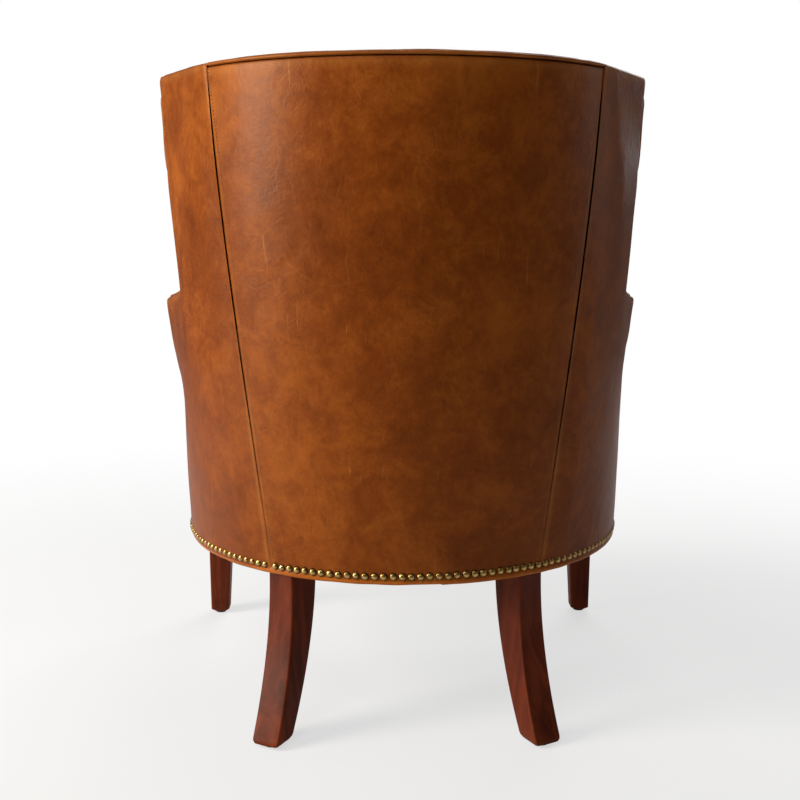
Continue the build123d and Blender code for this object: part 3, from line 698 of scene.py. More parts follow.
bandLook = {
    "low": 0.2572, "high": 0.2700, "proud": 0.0013, "under": 0.016, "fold": 0.0045,
    "lapX": -0.052, "lapThick": 0.0011,       # one end of the leather lies over the other here
}


def basePath(z, step):
    # The base's outline as s, from the front on one side round the back to the front on the other.
    stop = sOfDepth(frontOutline[-1][0], z)
    count = int(2 * stop / step)
    return [stop * (2 * k / count - 1) for k in range(count + 1)]


def makeBaseBand():
    # The leather turned round the lower edge of the rails, below the nails.
    look = bandLook
    tall = look["high"] - look["low"]
    profile = [(look["high"], 0.0014), (look["high"] - 0.0006, 0.0002)]
    for k in range(9):
        turn = math.pi / 2 * k / 8
        low = look["low"] + look["fold"]
        profile.append((low - look["fold"] * math.sin(turn), -look["proud"] + look["fold"] * (1 - math.cos(turn))))
    profile += [(look["low"], 0.008), (look["low"], look["under"])]
    rows, wear = [], []
    for s in basePath(look["low"], 0.004):
        sag = 0.0007 * noise.noise(Vector((s * 9, 0, 1))) + 0.0005 * noise.noise(Vector((s * 31, 4, 1)))
        spot = shellPoint(s, look["low"], 0.0)
        lap = look["lapThick"] if spot.y > 0.0 and spot.x < look["lapX"] else 0.0
        row = []
        for k, (z, inset) in enumerate(profile):
            share = (look["high"] - z) / tall
            drop = (lap - sag) * share
            row.append(shellPoint(s, z - drop, inset + sag * 0.6 * share - lap * min(share * 4, 1.0)))
            wear.append(0.30 * share)
        rows.append(row)
    mesh = gridMesh("baseBand", rows)
    storeMarks(mesh, wear, [0.25 if k < 2 else 0.0 for _ in rows for k in range(len(profile))])
    return addPiece("baseBand", mesh, leatherEdge, chairBody, ["base_band"],
                    outward=lambda c: Vector((c.x, c.y + 0.07, -0.02)))


class Tree:
    # A Geometry Nodes tree with named inputs.
    def __init__(self, name):
        self.group = bpy.data.node_groups.new(name, "GeometryNodeTree")
        self.identifiers = {}
        self.group.interface.new_socket("Geometry", in_out="INPUT", socket_type="NodeSocketGeometry")
        self.group.interface.new_socket("Geometry", in_out="OUTPUT", socket_type="NodeSocketGeometry")
        self.entry = self.group.nodes.new("NodeGroupInput")
        self.exit = self.group.nodes.new("NodeGroupOutput")

    def given(self, name, kind="NodeSocketFloat"):
        socket = self.group.interface.new_socket(name, in_out="INPUT", socket_type=kind)
        self.identifiers[name] = socket.identifier
        return self.entry.outputs[name]

    def node(self, kind, settings=None, inputs=None):
        made = self.group.nodes.new(kind)
        for key, value in (settings or {}).items():
            setattr(made, key, value)
        for key, value in (inputs or {}).items():
            if isinstance(value, bpy.types.NodeSocket):
                self.group.links.new(value, made.inputs[key])
            else:
                made.inputs[key].default_value = value
        return made

    def run(self, carrier, values):
        # Adds the tree to a carrier object, sets its inputs, and returns the result as a plain mesh.
        modifier = carrier.modifiers.new("tree", "NODES")
        modifier.node_group = self.group
        for name, value in values.items():
            modifier[self.identifiers[name]] = value
        bpy.context.view_layer.update()
        mesh = evaluatedMesh(carrier)
        carrier.modifiers.clear()
        return mesh


def scatterTree(material):
    # Flattened beads on the points of a line; each point carries outward and along directions.
    tree = Tree("beadsOnLine")
    length, width, height = (tree.given(name) for name in ("length", "width", "height"))
    lift, tilt, uneven = (tree.given(name) for name in ("lift", "tilt", "uneven"))
    seed = tree.given("seed", "NodeSocketInt")
    segments = tree.given("segments", "NodeSocketInt")
    bead = tree.node("GeometryNodeMeshUVSphere", {}, {"Segments": segments, "Rings": 8, "Radius": 1.0})
    place = tree.node("GeometryNodeInputPosition")
    split = tree.node("ShaderNodeSeparateXYZ", {}, {0: place.outputs[0]})
    crown = tree.node("GeometryNodeStoreNamedAttribute", {"data_type": "FLOAT", "domain": "POINT"},
                      {"Geometry": bead.outputs["Mesh"], "Name": "crown", "Value": split.outputs["Z"]})
    outward = tree.node("GeometryNodeInputNamedAttribute", {"data_type": "FLOAT_VECTOR"}, {"Name": "outward"})
    along = tree.node("GeometryNodeInputNamedAttribute", {"data_type": "FLOAT_VECTOR"}, {"Name": "along"})
    toOut = tree.node("FunctionNodeAlignRotationToVector", {"axis": "Z"}, {"Vector": outward.outputs[0]})
    toAlong = tree.node("FunctionNodeAlignRotationToVector", {"axis": "X", "pivot_axis": "Z"},
                        {"Rotation": toOut.outputs[0], "Vector": along.outputs[0]})
    negative = tree.node("ShaderNodeMath", {"operation": "MULTIPLY"}, {0: tilt, 1: -1.0})
    lowTilt = tree.node("ShaderNodeCombineXYZ", {}, {0: negative.outputs[0], 1: negative.outputs[0]})
    highTilt = tree.node("ShaderNodeCombineXYZ", {}, {0: tilt, 1: tilt})
    lean = tree.node("FunctionNodeRandomValue", {"data_type": "FLOAT_VECTOR"},
                     {"Min": lowTilt.outputs[0], "Max": highTilt.outputs[0], "Seed": seed})
    turned = tree.node("FunctionNodeRotateRotation", {"rotation_space": "LOCAL"},
                       {"Rotation": toAlong.outputs[0], "Rotate By": lean.outputs[0]})
    shift = tree.node("ShaderNodeVectorMath", {"operation": "SCALE"}, {0: outward.outputs[0], "Scale": lift})
    moved = tree.node("GeometryNodeSetPosition", {}, {"Geometry": tree.entry.outputs[0], "Offset": shift.outputs[0]})
    dots = tree.node("GeometryNodeMeshToPoints", {}, {"Mesh": moved.outputs[0], "Radius": 0.001})
    size = tree.node("ShaderNodeCombineXYZ", {}, {0: length, 1: width, 2: height})
    smallest = tree.node("ShaderNodeMath", {"operation": "SUBTRACT"}, {0: 1.0, 1: uneven})
    largest = tree.node("ShaderNodeMath", {"operation": "ADD"}, {0: 1.0, 1: uneven})
    vary = tree.node("FunctionNodeRandomValue", {"data_type": "FLOAT"},
                     {2: smallest.outputs[0], 3: largest.outputs[0], "Seed": seed})
    scaled = tree.node("ShaderNodeVectorMath", {"operation": "SCALE"},
                       {0: size.outputs[0], "Scale": vary.outputs[1]})
    beads = tree.node("GeometryNodeInstanceOnPoints", {},
                      {"Points": dots.outputs[0], "Instance": crown.outputs[0],
                       "Rotation": turned.outputs[0], "Scale": scaled.outputs[0]})
    real = tree.node("GeometryNodeRealizeInstances", {}, {"Geometry": beads.outputs[0]})
    painted = tree.node("GeometryNodeSetMaterial", {}, {"Geometry": real.outputs[0], "Material": material})
    tree.group.links.new(painted.outputs[0], tree.exit.inputs[0])
    return tree


def makeBeads(name, places, material, values, body, replaced=()):
    # places: point, outward and along for every bead.
    mesh = bpy.data.meshes.new(name + "Line")
    mesh.from_pydata([place for place, _, _ in places], [], [])
    for key, index in (("outward", 1), ("along", 2)):
        layer = mesh.attributes.new(key, "FLOAT_VECTOR", "POINT")
        layer.data.foreach_set("vector", [c for entry in places for c in entry[index]])
    carrier = addObject(name + "Line", mesh)
    made = scatterTree(material).run(carrier, values)
    bpy.data.objects.remove(carrier)
    made.name = name
    return addPiece(name, made, material, body, replaced)


nailRow = {
    "z": 0.2710, "pitch": 0.0144, "radius": 0.0064, "dome": 0.0052, "sink": -0.0006,
    "tilt": 0.16, "uneven": 0.04, "wander": 0.0006,
    "seamSpread": 0.0036,       # nails stand apart on both sides of the left seam
}


def outwardAt(s, z):
    # Level direction away from the shell.
    return (shellPoint(s, z, -0.01) - shellPoint(s, z, 0.0)).normalized()


def nailPlaces():
    look = nailRow
    places = []
    stop = sOfDepth(frontOutline[-1][0], look["z"]) - look["pitch"] * 0.45
    count = round(2 * stop / look["pitch"])
    seam = outsideSeam(look["z"])
    for k in range(count + 1):
        s = stop * (2 * k / count - 1)
        away = s - seam
        s += math.copysign(look["seamSpread"] * math.exp(-abs(away) / 0.05), away)
        jitter = look["wander"] * noise.noise(Vector((k * 1.7, 0, 0))) * 2
        z = look["z"] + look["wander"] * noise.noise(Vector((k * 1.3, 9, 0))) * 2
        point = shellPoint(s + jitter, z, 0.0)
        ahead = shellPoint(s + jitter + 0.004, z, 0.0)
        places.append((point, outwardAt(s, z), (ahead - point).normalized()))
    frontHalf = abs(places[0][0].x) - look["pitch"] * 0.9
    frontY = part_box("front_border")[0].y
    count = round(2 * frontHalf / look["pitch"])
    for k in range(count + 1):
        x = frontHalf * (2 * k / count - 1)
        z = look["z"] + look["wander"] * noise.noise(Vector((k * 1.3, 19, 0))) * 2
        places.append((Vector((x, frontY - 0.0006, z)), Vector((0, -1, 0)), Vector((1, 0, 0))))
    return places


def makeNails():
    look = nailRow
    values = {"length": look["radius"], "width": look["radius"], "height": look["dome"], "lift": look["sink"],
              "tilt": look["tilt"], "uneven": look["uneven"], "seed": 11, "segments": 16}
    return makeBeads("nails", nailPlaces(), nailBrass, values, chairBody, ["nailheads"])


stitchLook = {"pitch": 0.0056, "length": 0.0019, "width": 0.00055, "height": 0.0005, "away": 0.0048}


def seamStitches(side):
    # One row on the back panel beside an outside seam.
    look = stitchLook
    low, high = 0.285, topZ - outsideCover["rollHeight"] - 0.004
    count = int((high - low) / look["pitch"])
    places = []
    for k in range(count + 1):
        z = low + (high - low) * k / count
        s = side * (outsideSeam(z) - look["away"])
        point = shellPoint(s, z, -0.0001)
        ahead = shellPoint(side * (outsideSeam(z + 0.004) - look["away"]), z + 0.004)
        places.append((point, outwardAt(s, z), (ahead - point).normalized()))
    return places


def makeStitches():
    look = stitchLook
    values = {"length": look["length"], "width": look["width"], "height": look["height"], "lift": 0.0,
              "tilt": 0.06, "uneven": 0.08, "seed": 3, "segments": 6}
    return makeBeads("seamStitches", seamStitches(1) + seamStitches(-1), threadLook, values, chairBody)


print("edges, nails and stitches")
makeTopRoll()
makeBaseBand()
makeNails()
makeStitches()


backLeg = {
    "top": (0.182, 0.089), "foot": (0.212, -0.003),     # sideways, forward of the rear
    "topSide": 0.0545, "footSide": 0.047, "topTurn": 45.0, "footTurn": 27.0,
    "corner": 0.0030, "footRound": 0.010, "rows": 60,
}
frontLeg = {
    "outerX": 0.392, "frontDepth": 0.652, "topSide": 0.052, "footSide": 0.036,
    "corner": 0.0030, "footRound": 0.007, "rows": 30,
}
legTop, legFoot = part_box("back_leg_left")[1].z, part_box("back_leg_left")[0].z


def squareRing(side, corner, turn, centre, z):
    # A square with rounded corners, turned about its centre.
    flat = side / 2 - corner

    def onCorner(quarter, angle):
        middle = math.pi / 2 * quarter + math.pi / 4
        return (math.copysign(flat, math.cos(middle)) + corner * math.cos(angle),
                math.copysign(flat, math.sin(middle)) + corner * math.sin(angle))

    ring = []
    for quarter in range(4):
        ring += [onCorner(quarter, math.pi / 2 * (quarter + k / 5)) for k in range(6)]
        (x0, y0), (x1, y1) = ring[-1], onCorner(quarter + 1, math.pi / 2 * (quarter + 1))
        ring += [(x0 + (x1 - x0) * k / 5, y0 + (y1 - y0) * k / 5) for k in range(1, 5)]
    c, s = math.cos(turn), math.sin(turn)
    return [Vector((centre[0] + x * c - y * s, centre[1] + x * s + y * c, z)) for x, y in ring]


def makeLeg(name, look, side, placeAt, replaced):
    rows, wear = [], []
    for k in range(look["rows"] + 1):
        share = (k / look["rows"]) ** 0.8
        z = legTop + (legFoot - legTop) * share
        x, y, width, turn = placeAt(share)
        fromFoot = z - legFoot
        pull = turnedIn(fromFoot, look["footRound"])
        ring = squareRing(width - 2 * pull, look["corner"] + pull * 0.6, side * turn, (side * x, y), z)
        rows.append(ring)
        for place, point in enumerate(ring):
            onCorner = 0.55 if place % 10 in (1, 2, 3, 4) else 0.0
            wear.append(min(onCorner + 0.5 * bell(fromFoot, 0.012), 1.0))
    mesh = gridMesh(name, rows, closed=True)
    closeEnds(mesh)
    storeMarks(mesh, wear)
    return addPiece(name, mesh, legWood, chairBody, [replaced])


def backLegPlace(share):
    bend = share ** 2
    x = backLeg["top"][0] + (backLeg["foot"][0] - backLeg["top"][0]) * bend
    depth = backLeg["top"][1] + (backLeg["foot"][1] - backLeg["top"][1]) * bend
    width = backLeg["topSide"] + (backLeg["footSide"] - backLeg["topSide"]) * share
    turn = backLeg["topTurn"] + (backLeg["footTurn"] - backLeg["topTurn"]) * share
    return x, shell["rearY"] - depth, width, math.radians(-turn)


def frontLegPlace(share):
    width = frontLeg["topSide"] + (frontLeg["footSide"] - frontLeg["topSide"]) * share
    return frontLeg["outerX"] - width / 2, shell["rearY"] - frontLeg["frontDepth"] + width / 2, width, 0.0


print("legs")
for legSide, sideName in ((1, "left"), (-1, "right")):
    makeLeg(sideName + "BackLeg", backLeg, legSide, backLegPlace, "back_leg_" + sideName)
    makeLeg(sideName + "FrontLeg", frontLeg, legSide, frontLegPlace, "front_leg_" + sideName)


insideCover = {
    "step": 0.0080,
    "outerStart": (0.0068, 0.0012),     # first point of the rim: inset, distance below the edge
    "outerRadius": 0.007,
    "innerRadius": 0.024,
    "overhang": 0.010,                  # the wing's edge bulges out past the outer leather
    "crestRise": 0.0032,                # bulge of the rim along the top
    "frontRise": 0.0085,                # and along the wings and arms
    "puff": 0.012,
    "seamDepth": 0.007,
    "seamWidth": 0.009,
    "wingSeamZ": 0.690,
    "bottom": 0.3400,
    "unevenness": 0.0018,
}


def edgeNormals(line, side):
    # Directions from an edge into its panel, in the plane of (s, z).
    made = []
    for index in range(len(line)):
        before, after = line[max(index - 1, 0)], line[min(index + 1, len(line) - 1)]
        run, rise = side * (after[0] - before[0]), after[1] - before[1]
        length = math.hypot(run, rise) or 1.0
        made.append((side * rise / length, -run / length))
    return made


def rimProfile(wall, rise, overhang):
    # From under the outer leather over the rim to the inner face: pairs of inset and distance below the edge.
    look = insideCover
    outer, inner = look["outerRadius"], look["innerRadius"]
    startInset, startDip = look["outerStart"]
    points = [(startInset, startDip)]
    for k in range(1, 6):
        turn = math.pi / 2 * k / 5
        inset = startInset + outer * (1 - math.cos(turn)) * 0.7 - overhang * math.sin(1.6 * turn)
        points.append((inset, startDip - (rise + startDip) * 0.7 * math.sin(turn)))
    flatStart, flatStop = points[-1][0], wall - inner
    for k in range(1, 5):
        share = k / 5
        points.append((flatStart + (flatStop - flatStart) * share, -rise * (0.7 + 0.3 * math.sin(math.pi * share))))
    for k in range(0, 8):
        turn = math.pi / 2 * k / 7
        points.append((flatStop + inner * math.sin(turn), -rise * 0.7 + (inner + rise * 0.7) * (1 - math.cos(turn))))
    return points


def makeInsideCover(name, side, upper, lower, replaced, seams, grooves=()):
    look = insideCover
    normals = edgeNormals(upper, side)
    rows, wear, shade, profiles = [], [], [], []
    for _, z in upper:
        level = min(max((1.05 - z) / 0.02, 0.0), 1.0)
        rise = look["crestRise"] + (look["frontRise"] - look["crestRise"]) * level
        wing = min(max((z - 0.86) / 0.03, 0.0), 1.0) * min(max((1.04 - z) / 0.03, 0.0), 1.0)
        profiles.append(rimProfile(wallAt(min(z, topZ)), rise, look["overhang"] * wing))

    def seamPull(i, z, s):
        away = [abs(abs(s) - insideSeam(z))] if seams else []
        away += [abs(z - groove) for groove in grooves]
        return sum(look["seamDepth"] * bell(d, look["seamWidth"]) for d in away), min(away or [1.0])

    rimSteps = len(profiles[0])
    for k in range(rimSteps):
        row = []
        for i, (s, z) in enumerate(upper):
            inset, dip = profiles[i][k]
            ds, dz = normals[i]
            pull, away = seamPull(i, z, s)
            lump = unevenAt(shellPoint(s, z, inset), look["unevenness"]) * min(k / 4, 1.0)
            dip += pull * 0.4 * min(k / 6, 1.0) - lump
            row.append(shellPoint(s + ds * dip, min(z, topZ) + dz * dip, inset))
            wear.append(0.25 * bell(k - 3, 2.5))
            shade.append(min(0.8 * bell(away, 0.0022) + (0.6 if k == 0 else 0.0), 1.0))
        rows.append(row)
    downCount = int(columnLength / look["step"])
    for j in range(1, downCount + 1):
        down = j / downCount
        row = []
        for i, (high, low) in enumerate(zip(upper, lower)):
            ds, dz = normals[i]
            topS, topHigh = high[0] + ds * profiles[i][-1][1], min(high[1], topZ) + dz * profiles[i][-1][1]
            s, z = topS + (low[0] - topS) * down, topHigh + (low[1] - topHigh) * down
            column = math.dist((topS, topHigh), low)
            edgeAway = down * column
            pull, away = seamPull(i, z, s)
            point = shellPoint(s, z, wallAt(z))
            swell = look["puff"] * min(edgeAway / 0.05, 1.0) * min(away / 0.05, 1.0)
            swell *= 0.45 + 0.55 * min(max((z - 0.46) / 0.08, 0.0), 1.0)
            pucker = 0.0010 * noise.noise(Vector((s * 60, z * 9, 3))) * bell(away, 0.03)
            wrinkle = unevenAt(point, look["unevenness"]) + pucker
            inset = wallAt(z) + swell + wrinkle - pull
            row.append(shellPoint(s, z, inset))
            wear.append(0.0)
            shade.append(min(0.8 * bell(away, 0.0022), 1.0))
        rows.append(row)
    mesh = gridMesh(name, rows)
    storeMarks(mesh, wear, shade)
    piece = addPiece(name, mesh, leather, chairBody, replaced,
                     outward=lambda c: Vector((-c.x, -c.y - 0.05, 0)))
    return piece


def makeInsideBack():
    high, low = topZ, insideCover["bottom"]
    shares = stepped(2 * insideSeam(high), insideCover["step"])
    upper = [(insideSeam(high) * (2 * share - 1), high) for share in shares]
    lower = [(insideSeam(low) * (2 * share - 1), low) for share in shares]
    makeInsideCover("insideBack", 1, upper, lower, ["inside_back_cover", "back_foam"], seams=True)


def makeInsideSide(name, side, replaced):
    look = insideCover
    line = outlineLine(topZ, insideSeam(topZ))
    length = lengthsAlong(line)[-1]
    shares = stepped(length, look["step"])
    points = resample(line, shares)
    low = look["bottom"]
    start, stop = insideSeam(low), sOfDepth(frontOutline[-1][0] - 0.004, low)
    frontShare = next(share for share, (_, z) in zip(shares, points) if z < low + 0.03)
    upper = [(side * s, z) for s, z in points]
    lower = []
    for share, (s, z) in zip(shares, points):
        along = min(share / frontShare, 1.0)
        lower.append((side * (start + (stop - start) * along), min(low, z - 0.002)))
    makeInsideCover(name, side, upper, lower, replaced, seams=True, grooves=(look["wingSeamZ"],))


print("inside leather")
makeInsideBack()
for sideWay, sideName in ((1, "left"), (-1, "right")):
    makeInsideSide(sideName + "Inside", sideWay, [
        sideName + tail for tail in ("_inside_wing_cover", "_inside_arm_cover", "_wing_foam", "_arm_foam")])


seat = {
    "bottom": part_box("seat_cushion_cover")[0].z, "top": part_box("seat_cushion_cover")[1].z,
    "front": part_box("seat_cushion_cover")[0].y, "gap": 0.008, "corner": 0.035,
    "crown": 0.020, "side": 0.004, "shrink": 0.006,
    "voxel": 0.0055, "pressure": 4.0, "frames": 20, "cap": 0.016,
}


def seatOutline(z, away, frontY, corner, count):
    # D-shaped outline: round back, straight sides, rounded front corners, as points from the front middle.
    radius, centreY, flare = shellAt(z)
    inner = radius - away
    points = []
    endX, endY = inner * math.cos(flare), centreY + inner * math.sin(flare)
    sideX = endX + (endY - frontY) * math.tan(flare)
    # front corner: between the front edge and the side line
    half = (math.pi / 2 + flare) / 2
    back = corner / math.tan(half)
    cornerX = sideX - back
    centre = (cornerX, frontY + corner)
    points.append((0.0, frontY))
    points.append((cornerX * 0.5, frontY))
    for k in range(11):
        turn = -math.pi / 2 + (math.pi / 2 - flare) * k / 10
        points.append((centre[0] + corner * math.cos(turn), centre[1] + corner * math.sin(turn)))
    lastX, lastY = points[-1]
    for k in range(1, 6):
        points.append((lastX + (endX - lastX) * k / 6, lastY + (endY - lastY) * k / 6))
    for k in range(41):
        turn = flare + (math.pi / 2 - flare) * k / 40
        points.append((inner * math.cos(turn), centreY + inner * math.sin(turn)))
    mirror = [(-x, y) for x, y in reversed(points[1:-1])]
    loop = points + mirror
    return resample(loop + [loop[0]], [k / count for k in range(count)])


def cushionOutline(grow, count=220):
    away = wallAt(seat["bottom"]) + seat["gap"] - grow
    return seatOutline(seat["bottom"], away, seat["front"] - grow, seat["corner"] + grow, count)


def makeCushionForm():
    # Boxed cushion with a crowned top and a flat bottom, before it is filled.
    low, high = seat["bottom"] + 0.004, seat["top"] - 0.004
    tall = high - low
    outline = [Vector((x, y, 0)) for x, y in cushionOutline(-seat["shrink"])]
    centre = sum(outline, Vector()) / len(outline)
    rings = []
    for k in range(1, 13):
        spread = math.sin(math.pi / 2 * k / 12)
        rings.append([centre + (p - centre) * spread + Vector((0, 0, low)) for p in outline])
    for k in range(1, 9):
        out = seat["side"] * math.sin(math.pi * k / 8)
        rings.append([p + Vector((0, 0, low + tall * k / 8)) + (p - centre).normalized() * out for p in outline])
    for k in range(11, 0, -1):
        spread = math.sin(math.pi / 2 * k / 12)
        lift = seat["crown"] * (1 - spread ** 2.2)
        rings.append([centre + (p - centre) * spread + Vector((0, 0, high + lift)) for p in outline])
    mesh = gridMesh("seatCushion", rings, closed=True)
    closeEnds(mesh, cutUp=True)
    return mesh


def swell(mesh, stays):
    # Voxel remesh, then Cloth with pressure for a few frames; stays says how firmly each point is held.
    holder = addObject("swelling", mesh)
    remesh = holder.modifiers.new("remesh", "REMESH")
    remesh.mode, remesh.voxel_size = "VOXEL", seat["voxel"]
    bpy.context.view_layer.update()
    even = evaluatedMesh(holder)
    holder.modifiers.clear()
    holder.data = even
    start = [v.co.copy() for v in even.vertices]
    group = holder.vertex_groups.new(name="held")
    for vertex in even.vertices:
        group.add([vertex.index], stays(vertex.co), "REPLACE")
    cloth = holder.modifiers.new("cloth", "CLOTH")
    cloth.settings.quality = 5
    cloth.settings.mass = 0.4
    cloth.settings.tension_stiffness = 40
    cloth.settings.compression_stiffness = 20
    cloth.settings.bending_stiffness = 2.5
    cloth.settings.use_pressure = True
    cloth.settings.uniform_pressure_force = seat["pressure"]
    cloth.settings.vertex_group_mass = "held"
    cloth.settings.effector_weights.gravity = 0.0
    cloth.collision_settings.use_collision = False
    scene = bpy.context.scene
    for frameNumber in range(1, seat["frames"] + 1):
        scene.frame_set(frameNumber)
    moved = evaluatedMesh(holder)
    for vertex, before in zip(moved.vertices, start):
        push = vertex.co - before
        if push.length > seat["cap"]:
            vertex.co = before + push.normalized() * seat["cap"]
    scene.frame_set(1)
    bpy.data.objects.remove(holder)
    return moved


def makeCushion():
    mesh = makeCushionForm()
    low, high = seat["bottom"] + 0.004, seat["top"] - 0.004
    outline = cushionOutline(-seat["shrink"], 120)

    def held(co):
        # The two seams hold their place while the rest fills.
        rim = min(abs(co.z - low), abs(co.z - high))
        if rim > 0.02:
            return 0.0
        edge = min(math.dist((co.x, co.y), place) for place in outline)
        return 0.96 * bell(rim, 0.010) * bell(edge, 0.010)

    mesh = swell(mesh, held)
    for vertex in mesh.vertices:
        co = vertex.co
        vertex.co.z = max(co.z, seat["bottom"] + 0.0005)
        dimple = unevenAt(co, 0.0022)
        if co.z > high - 0.004:
            vertex.co.z += dimple
    storeMarks(mesh, [0.30 * max(0.0, 0.5 + noise.noise(v.co * 6)) for v in mesh.vertices])
    piece = addPiece("seatCushion", mesh, leather, cushionBody,
                     ["seat_cushion_cover", "seat_cushion_core"])
    piece.modifiers.new("finer", "SUBSURF").levels = 1


weltLook = {"radius": 0.0032, "inset": 0.0035, "out": 0.0012, "sides": 10}


def makeWelt(name, z, replaced):
    outline = cushionOutline(weltLook["out"], 260)
    ring = [Vector((x, y, z + 0.0006 * noise.noise(Vector((x * 8, y * 8, z))))) for x, y in outline]
    rows, wear = [], []
    for index, point in enumerate(ring):
        tangent = (ring[(index + 1) % len(ring)] - ring[index - 1]).normalized()
        outwardWay = tangent.cross(Vector((0, 0, 1)))
        row = []
        for k in range(weltLook["sides"]):
            turn = 2 * math.pi * k / weltLook["sides"]
            up = Vector((0, 0, weltLook["radius"] * math.sin(turn)))
            row.append(point + outwardWay * weltLook["radius"] * math.cos(turn) + up)
            wear.append(0.35 * max(math.cos(turn), 0.0))
        rows.append(row)
    rows.append(rows[0])
    mesh = gridMesh(name, rows, closed=True)
    storeMarks(mesh, wear + wear[:weltLook["sides"]])
    addPiece(name, mesh, leatherEdge, cushionBody, [replaced])


def makeFrontBorder():
    # Leather over the front rail, padded, from the deck down to its turned edge.
    z0, z1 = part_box("front_border")[0].z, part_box("front_border")[1].z
    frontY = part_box("front_border")[0].y
    half = shellPoint(sOfDepth(frontOutline[-1][0], 0.30), 0.30, insideCover["outerStart"][0]).x - 0.060
    half = min(half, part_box("front_border")[1].x - 0.002)
    rows, wear, shade = [], [], []
    count = 110
    profile = []
    for k in range(9):
        turn = math.pi / 2 * k / 8
        profile.append((frontY + 0.034 - 0.034 * math.sin(turn), z1 - 0.016 + 0.016 * math.cos(turn)))
    for k in range(1, 14):
        profile.append((frontY, z1 - 0.016 - (z1 - 0.016 - z0) * k / 13))
    profile += [(frontY + 0.003, z0 - 0.0006), (frontY + 0.018, z0 - 0.0006)]
    for i in range(count + 1):
        x = half * (2 * i / count - 1)
        row = []
        for k, (y, z) in enumerate(profile):
            share = k / (len(profile) - 1)
            swellOut = 0.0024 * math.sin(math.pi * min(share * 1.2, 1.0)) * min((half - abs(x)) / 0.03, 1.0)
            row.append(Vector((x, y - swellOut + 0.0008 * noise.noise(Vector((x * 20, z * 20, 5))), z)))
            wear.append(0.3 * bell(k - 5, 3))
            shade.append(0.0)
        rows.append(row)
    mesh = gridMesh("frontBorder", rows)
    storeMarks(mesh, wear, shade)
    addPiece("frontBorder", mesh, leather, chairBody, ["front_border"],
             outward=lambda c: Vector((0, -1, 0.2)))


stretched = {
    "deck": {"away": 0.003, "sag": 0.0030, "hem": 0.0, "ripple": 0.0006, "rings": 34},
    "dust": {"away": 0.0175, "sag": 0.0075, "hem": 0.0007, "ripple": 0.0016, "rings": 34},
}


def makeStretched(name, look, z, away, frontY, up, replaced):
    # Cloth pulled tight over a D-shaped opening: it gives a little in the middle and ripples near its edge.
    outline = [Vector((x, y, 0)) for x, y in seatOutline(z, away, frontY, 0.006, 200)]
    centre = sum(outline, Vector()) / len(outline)
    rows = []
    for k in range(look["rings"] + 1):
        spread = max(k / look["rings"], 0.001)
        row = []
        for index, edge in enumerate(outline):
            place = centre + (edge - centre) * spread
            turn = 2 * math.pi * index / len(outline)
            ripple = noise.noise(Vector((math.cos(turn) * 9, math.sin(turn) * 9, spread * 1.5)))
            depth = look["sag"] * (1 - spread ** 2) + look["ripple"] * ripple * spread ** 3 * (1 - spread ** 8)
            hem = look["hem"] if (edge - place).length < 0.014 else 0.0
            row.append(place + Vector((0, 0, z - depth - hem)))
        rows.append(row)
    mesh = gridMesh(name, rows, closed=True)
    piece = addPiece(name, mesh, clothLook, chairBody, replaced, outward=lambda c: Vector((0, 0, up)))


def makeCloths():
    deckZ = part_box("deck_cover")[1].z
    makeStretched("deckCloth", stretched["deck"], deckZ, wallAt(deckZ) + stretched["deck"]["away"],
                  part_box("deck_cover")[0].y, 1, ["deck_cover", "deck_pad"])
    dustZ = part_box("dust_cover")[0].z
    makeStretched("dustCloth", stretched["dust"], dustZ, stretched["dust"]["away"],
                  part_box("dust_cover")[0].y, -1, ["dust_cover"])


print("seat")
makeFrontBorder()
makeCloths()
makeCushion()
makeWelt("topWelt", seat["top"] - weltLook["inset"], "cushion_top_welt")
makeWelt("bottomWelt", seat["bottom"] + weltLook["inset"], "cushion_bottom_welt")


camera = {
    "lens": 54.0,
    "height": 0.832,
    "distance": 1.780,          # behind the foot of the back
    "sideways": 0.0383,
    "pitch": 9.1,               # degrees down
    "yaw": 0.9,
}


# Place, what it is aimed at, width and height, watts and colour of each lamp.
lights = {
    "key": ((2.9, 0.95, 1.5), (0.0, 0.1, 0.62), (1.2, 1.8), 112.0, (1.0, 0.96, 0.90)),
    "rim": ((-2.4, -0.5, 1.3), (-0.3, 0.1, 0.7), (0.4, 1.6), 3.0, (1.0, 1.0, 1.0)),
    "top": ((0.9, 1.5, 2.4), (0.1, 0.3, 0.95), (1.4, 0.5), 13.0, (1.0, 1.0, 1.0)),
    "front": ((-0.8, -3.0, 1.9), (0.0, 0.0, 0.6), (2.4, 2.0), 60.0, (1.0, 1.0, 1.0)),
}
room = {"floorHalf": 9.0, "daylight": 0.11}


def makeCamera():
    data = bpy.data.cameras.new("camera")
    data.lens = camera["lens"]
    eye = addObject("camera", data)
    eye.location = (camera["sideways"], shell["rearY"] + camera["distance"], camera["height"])
    eye.rotation_euler = (math.radians(90 - camera["pitch"]), 0, math.radians(180 - camera["yaw"]))
    bpy.context.scene.camera = eye


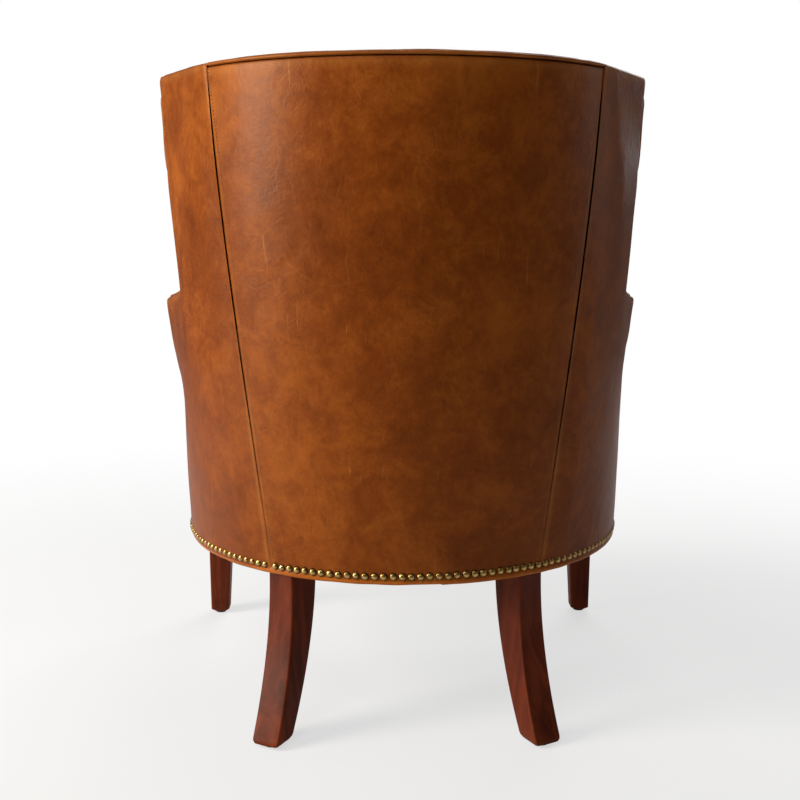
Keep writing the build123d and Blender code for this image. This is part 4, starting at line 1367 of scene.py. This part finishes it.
def makeFloor():
    mesh = bpy.data.meshes.new("floor")
    half = room["floorHalf"]
    mesh.from_pydata([(-half, -half, 0), (half, -half, 0), (half, half, 0), (-half, half, 0)], [], [(0, 1, 2, 3)])
    floor = addObject("floor", mesh)
    finish = Finish("floorPaint")
    grain = finish.noise(2.0, 2.0)
    finish.set(Base_Color=finish.ramp(grain, ((0.3, (0.80, 0.80, 0.795)), (0.7, (0.84, 0.84, 0.835)))), Roughness=0.9)
    # The camera sees the floor lit up towards white, wholly so far from the chair.
    far = finish.node("ShaderNodeVectorMath", {"operation": "LENGTH"}, {0: finish.place}).out("Value")
    seen = finish.node("ShaderNodeLightPath").out("Is Camera Ray") * (0.62 + far.between(0.6, 2.4) * 0.38)
    white = finish.node("ShaderNodeEmission", {}, {"Color": (1.0, 1.0, 1.0), "Strength": 1.0})
    mixed = finish.node("ShaderNodeMixShader", {}, {0: seen})
    finish.links.new(finish.shader.outputs[0], mixed.raw.inputs[1])
    finish.links.new(white.raw.outputs[0], mixed.raw.inputs[2])
    finish.links.new(mixed.raw.outputs[0], finish.nodes["Material Output"].inputs["Surface"])
    mesh.materials.append(finish.material)


def makeLight(name, place, target, size, power, colour):
    data = bpy.data.lights.new(name, "AREA")
    data.shape = "RECTANGLE"
    data.size, data.size_y = size
    data.energy = power
    data.color = colour
    light = addObject(name, data)
    light.location = place
    aim = Vector(target) - Vector(place)
    light.rotation_euler = aim.to_track_quat("-Z", "Y").to_euler()


def makeWorld():
    world = bpy.data.worlds.new("studio")
    bpy.context.scene.world = world
    world.use_nodes = True
    background = world.node_tree.nodes["Background"]
    background.inputs["Color"].default_value = (1.0, 1.0, 1.0, 1.0)
    background.inputs["Strength"].default_value = room["daylight"]
    nodes, links = world.node_tree.nodes, world.node_tree.links
    seen = nodes.new("ShaderNodeBackground")
    seen.inputs["Color"].default_value = (1.0, 1.0, 1.0, 1.0)
    seen.inputs["Strength"].default_value = 1.0
    ray = nodes.new("ShaderNodeLightPath")
    choose = nodes.new("ShaderNodeMixShader")
    links.new(ray.outputs["Is Camera Ray"], choose.inputs[0])
    links.new(background.outputs[0], choose.inputs[1])
    links.new(seen.outputs[0], choose.inputs[2])
    links.new(choose.outputs[0], nodes["World Output"].inputs["Surface"])


makeCamera()
makeFloor()
makeWorld()
for lightName, (place, target, size, power, colour) in lights.items():
    makeLight(lightName, place, target, size, power, colour)
bpy.context.scene.view_settings.view_transform = "Standard"
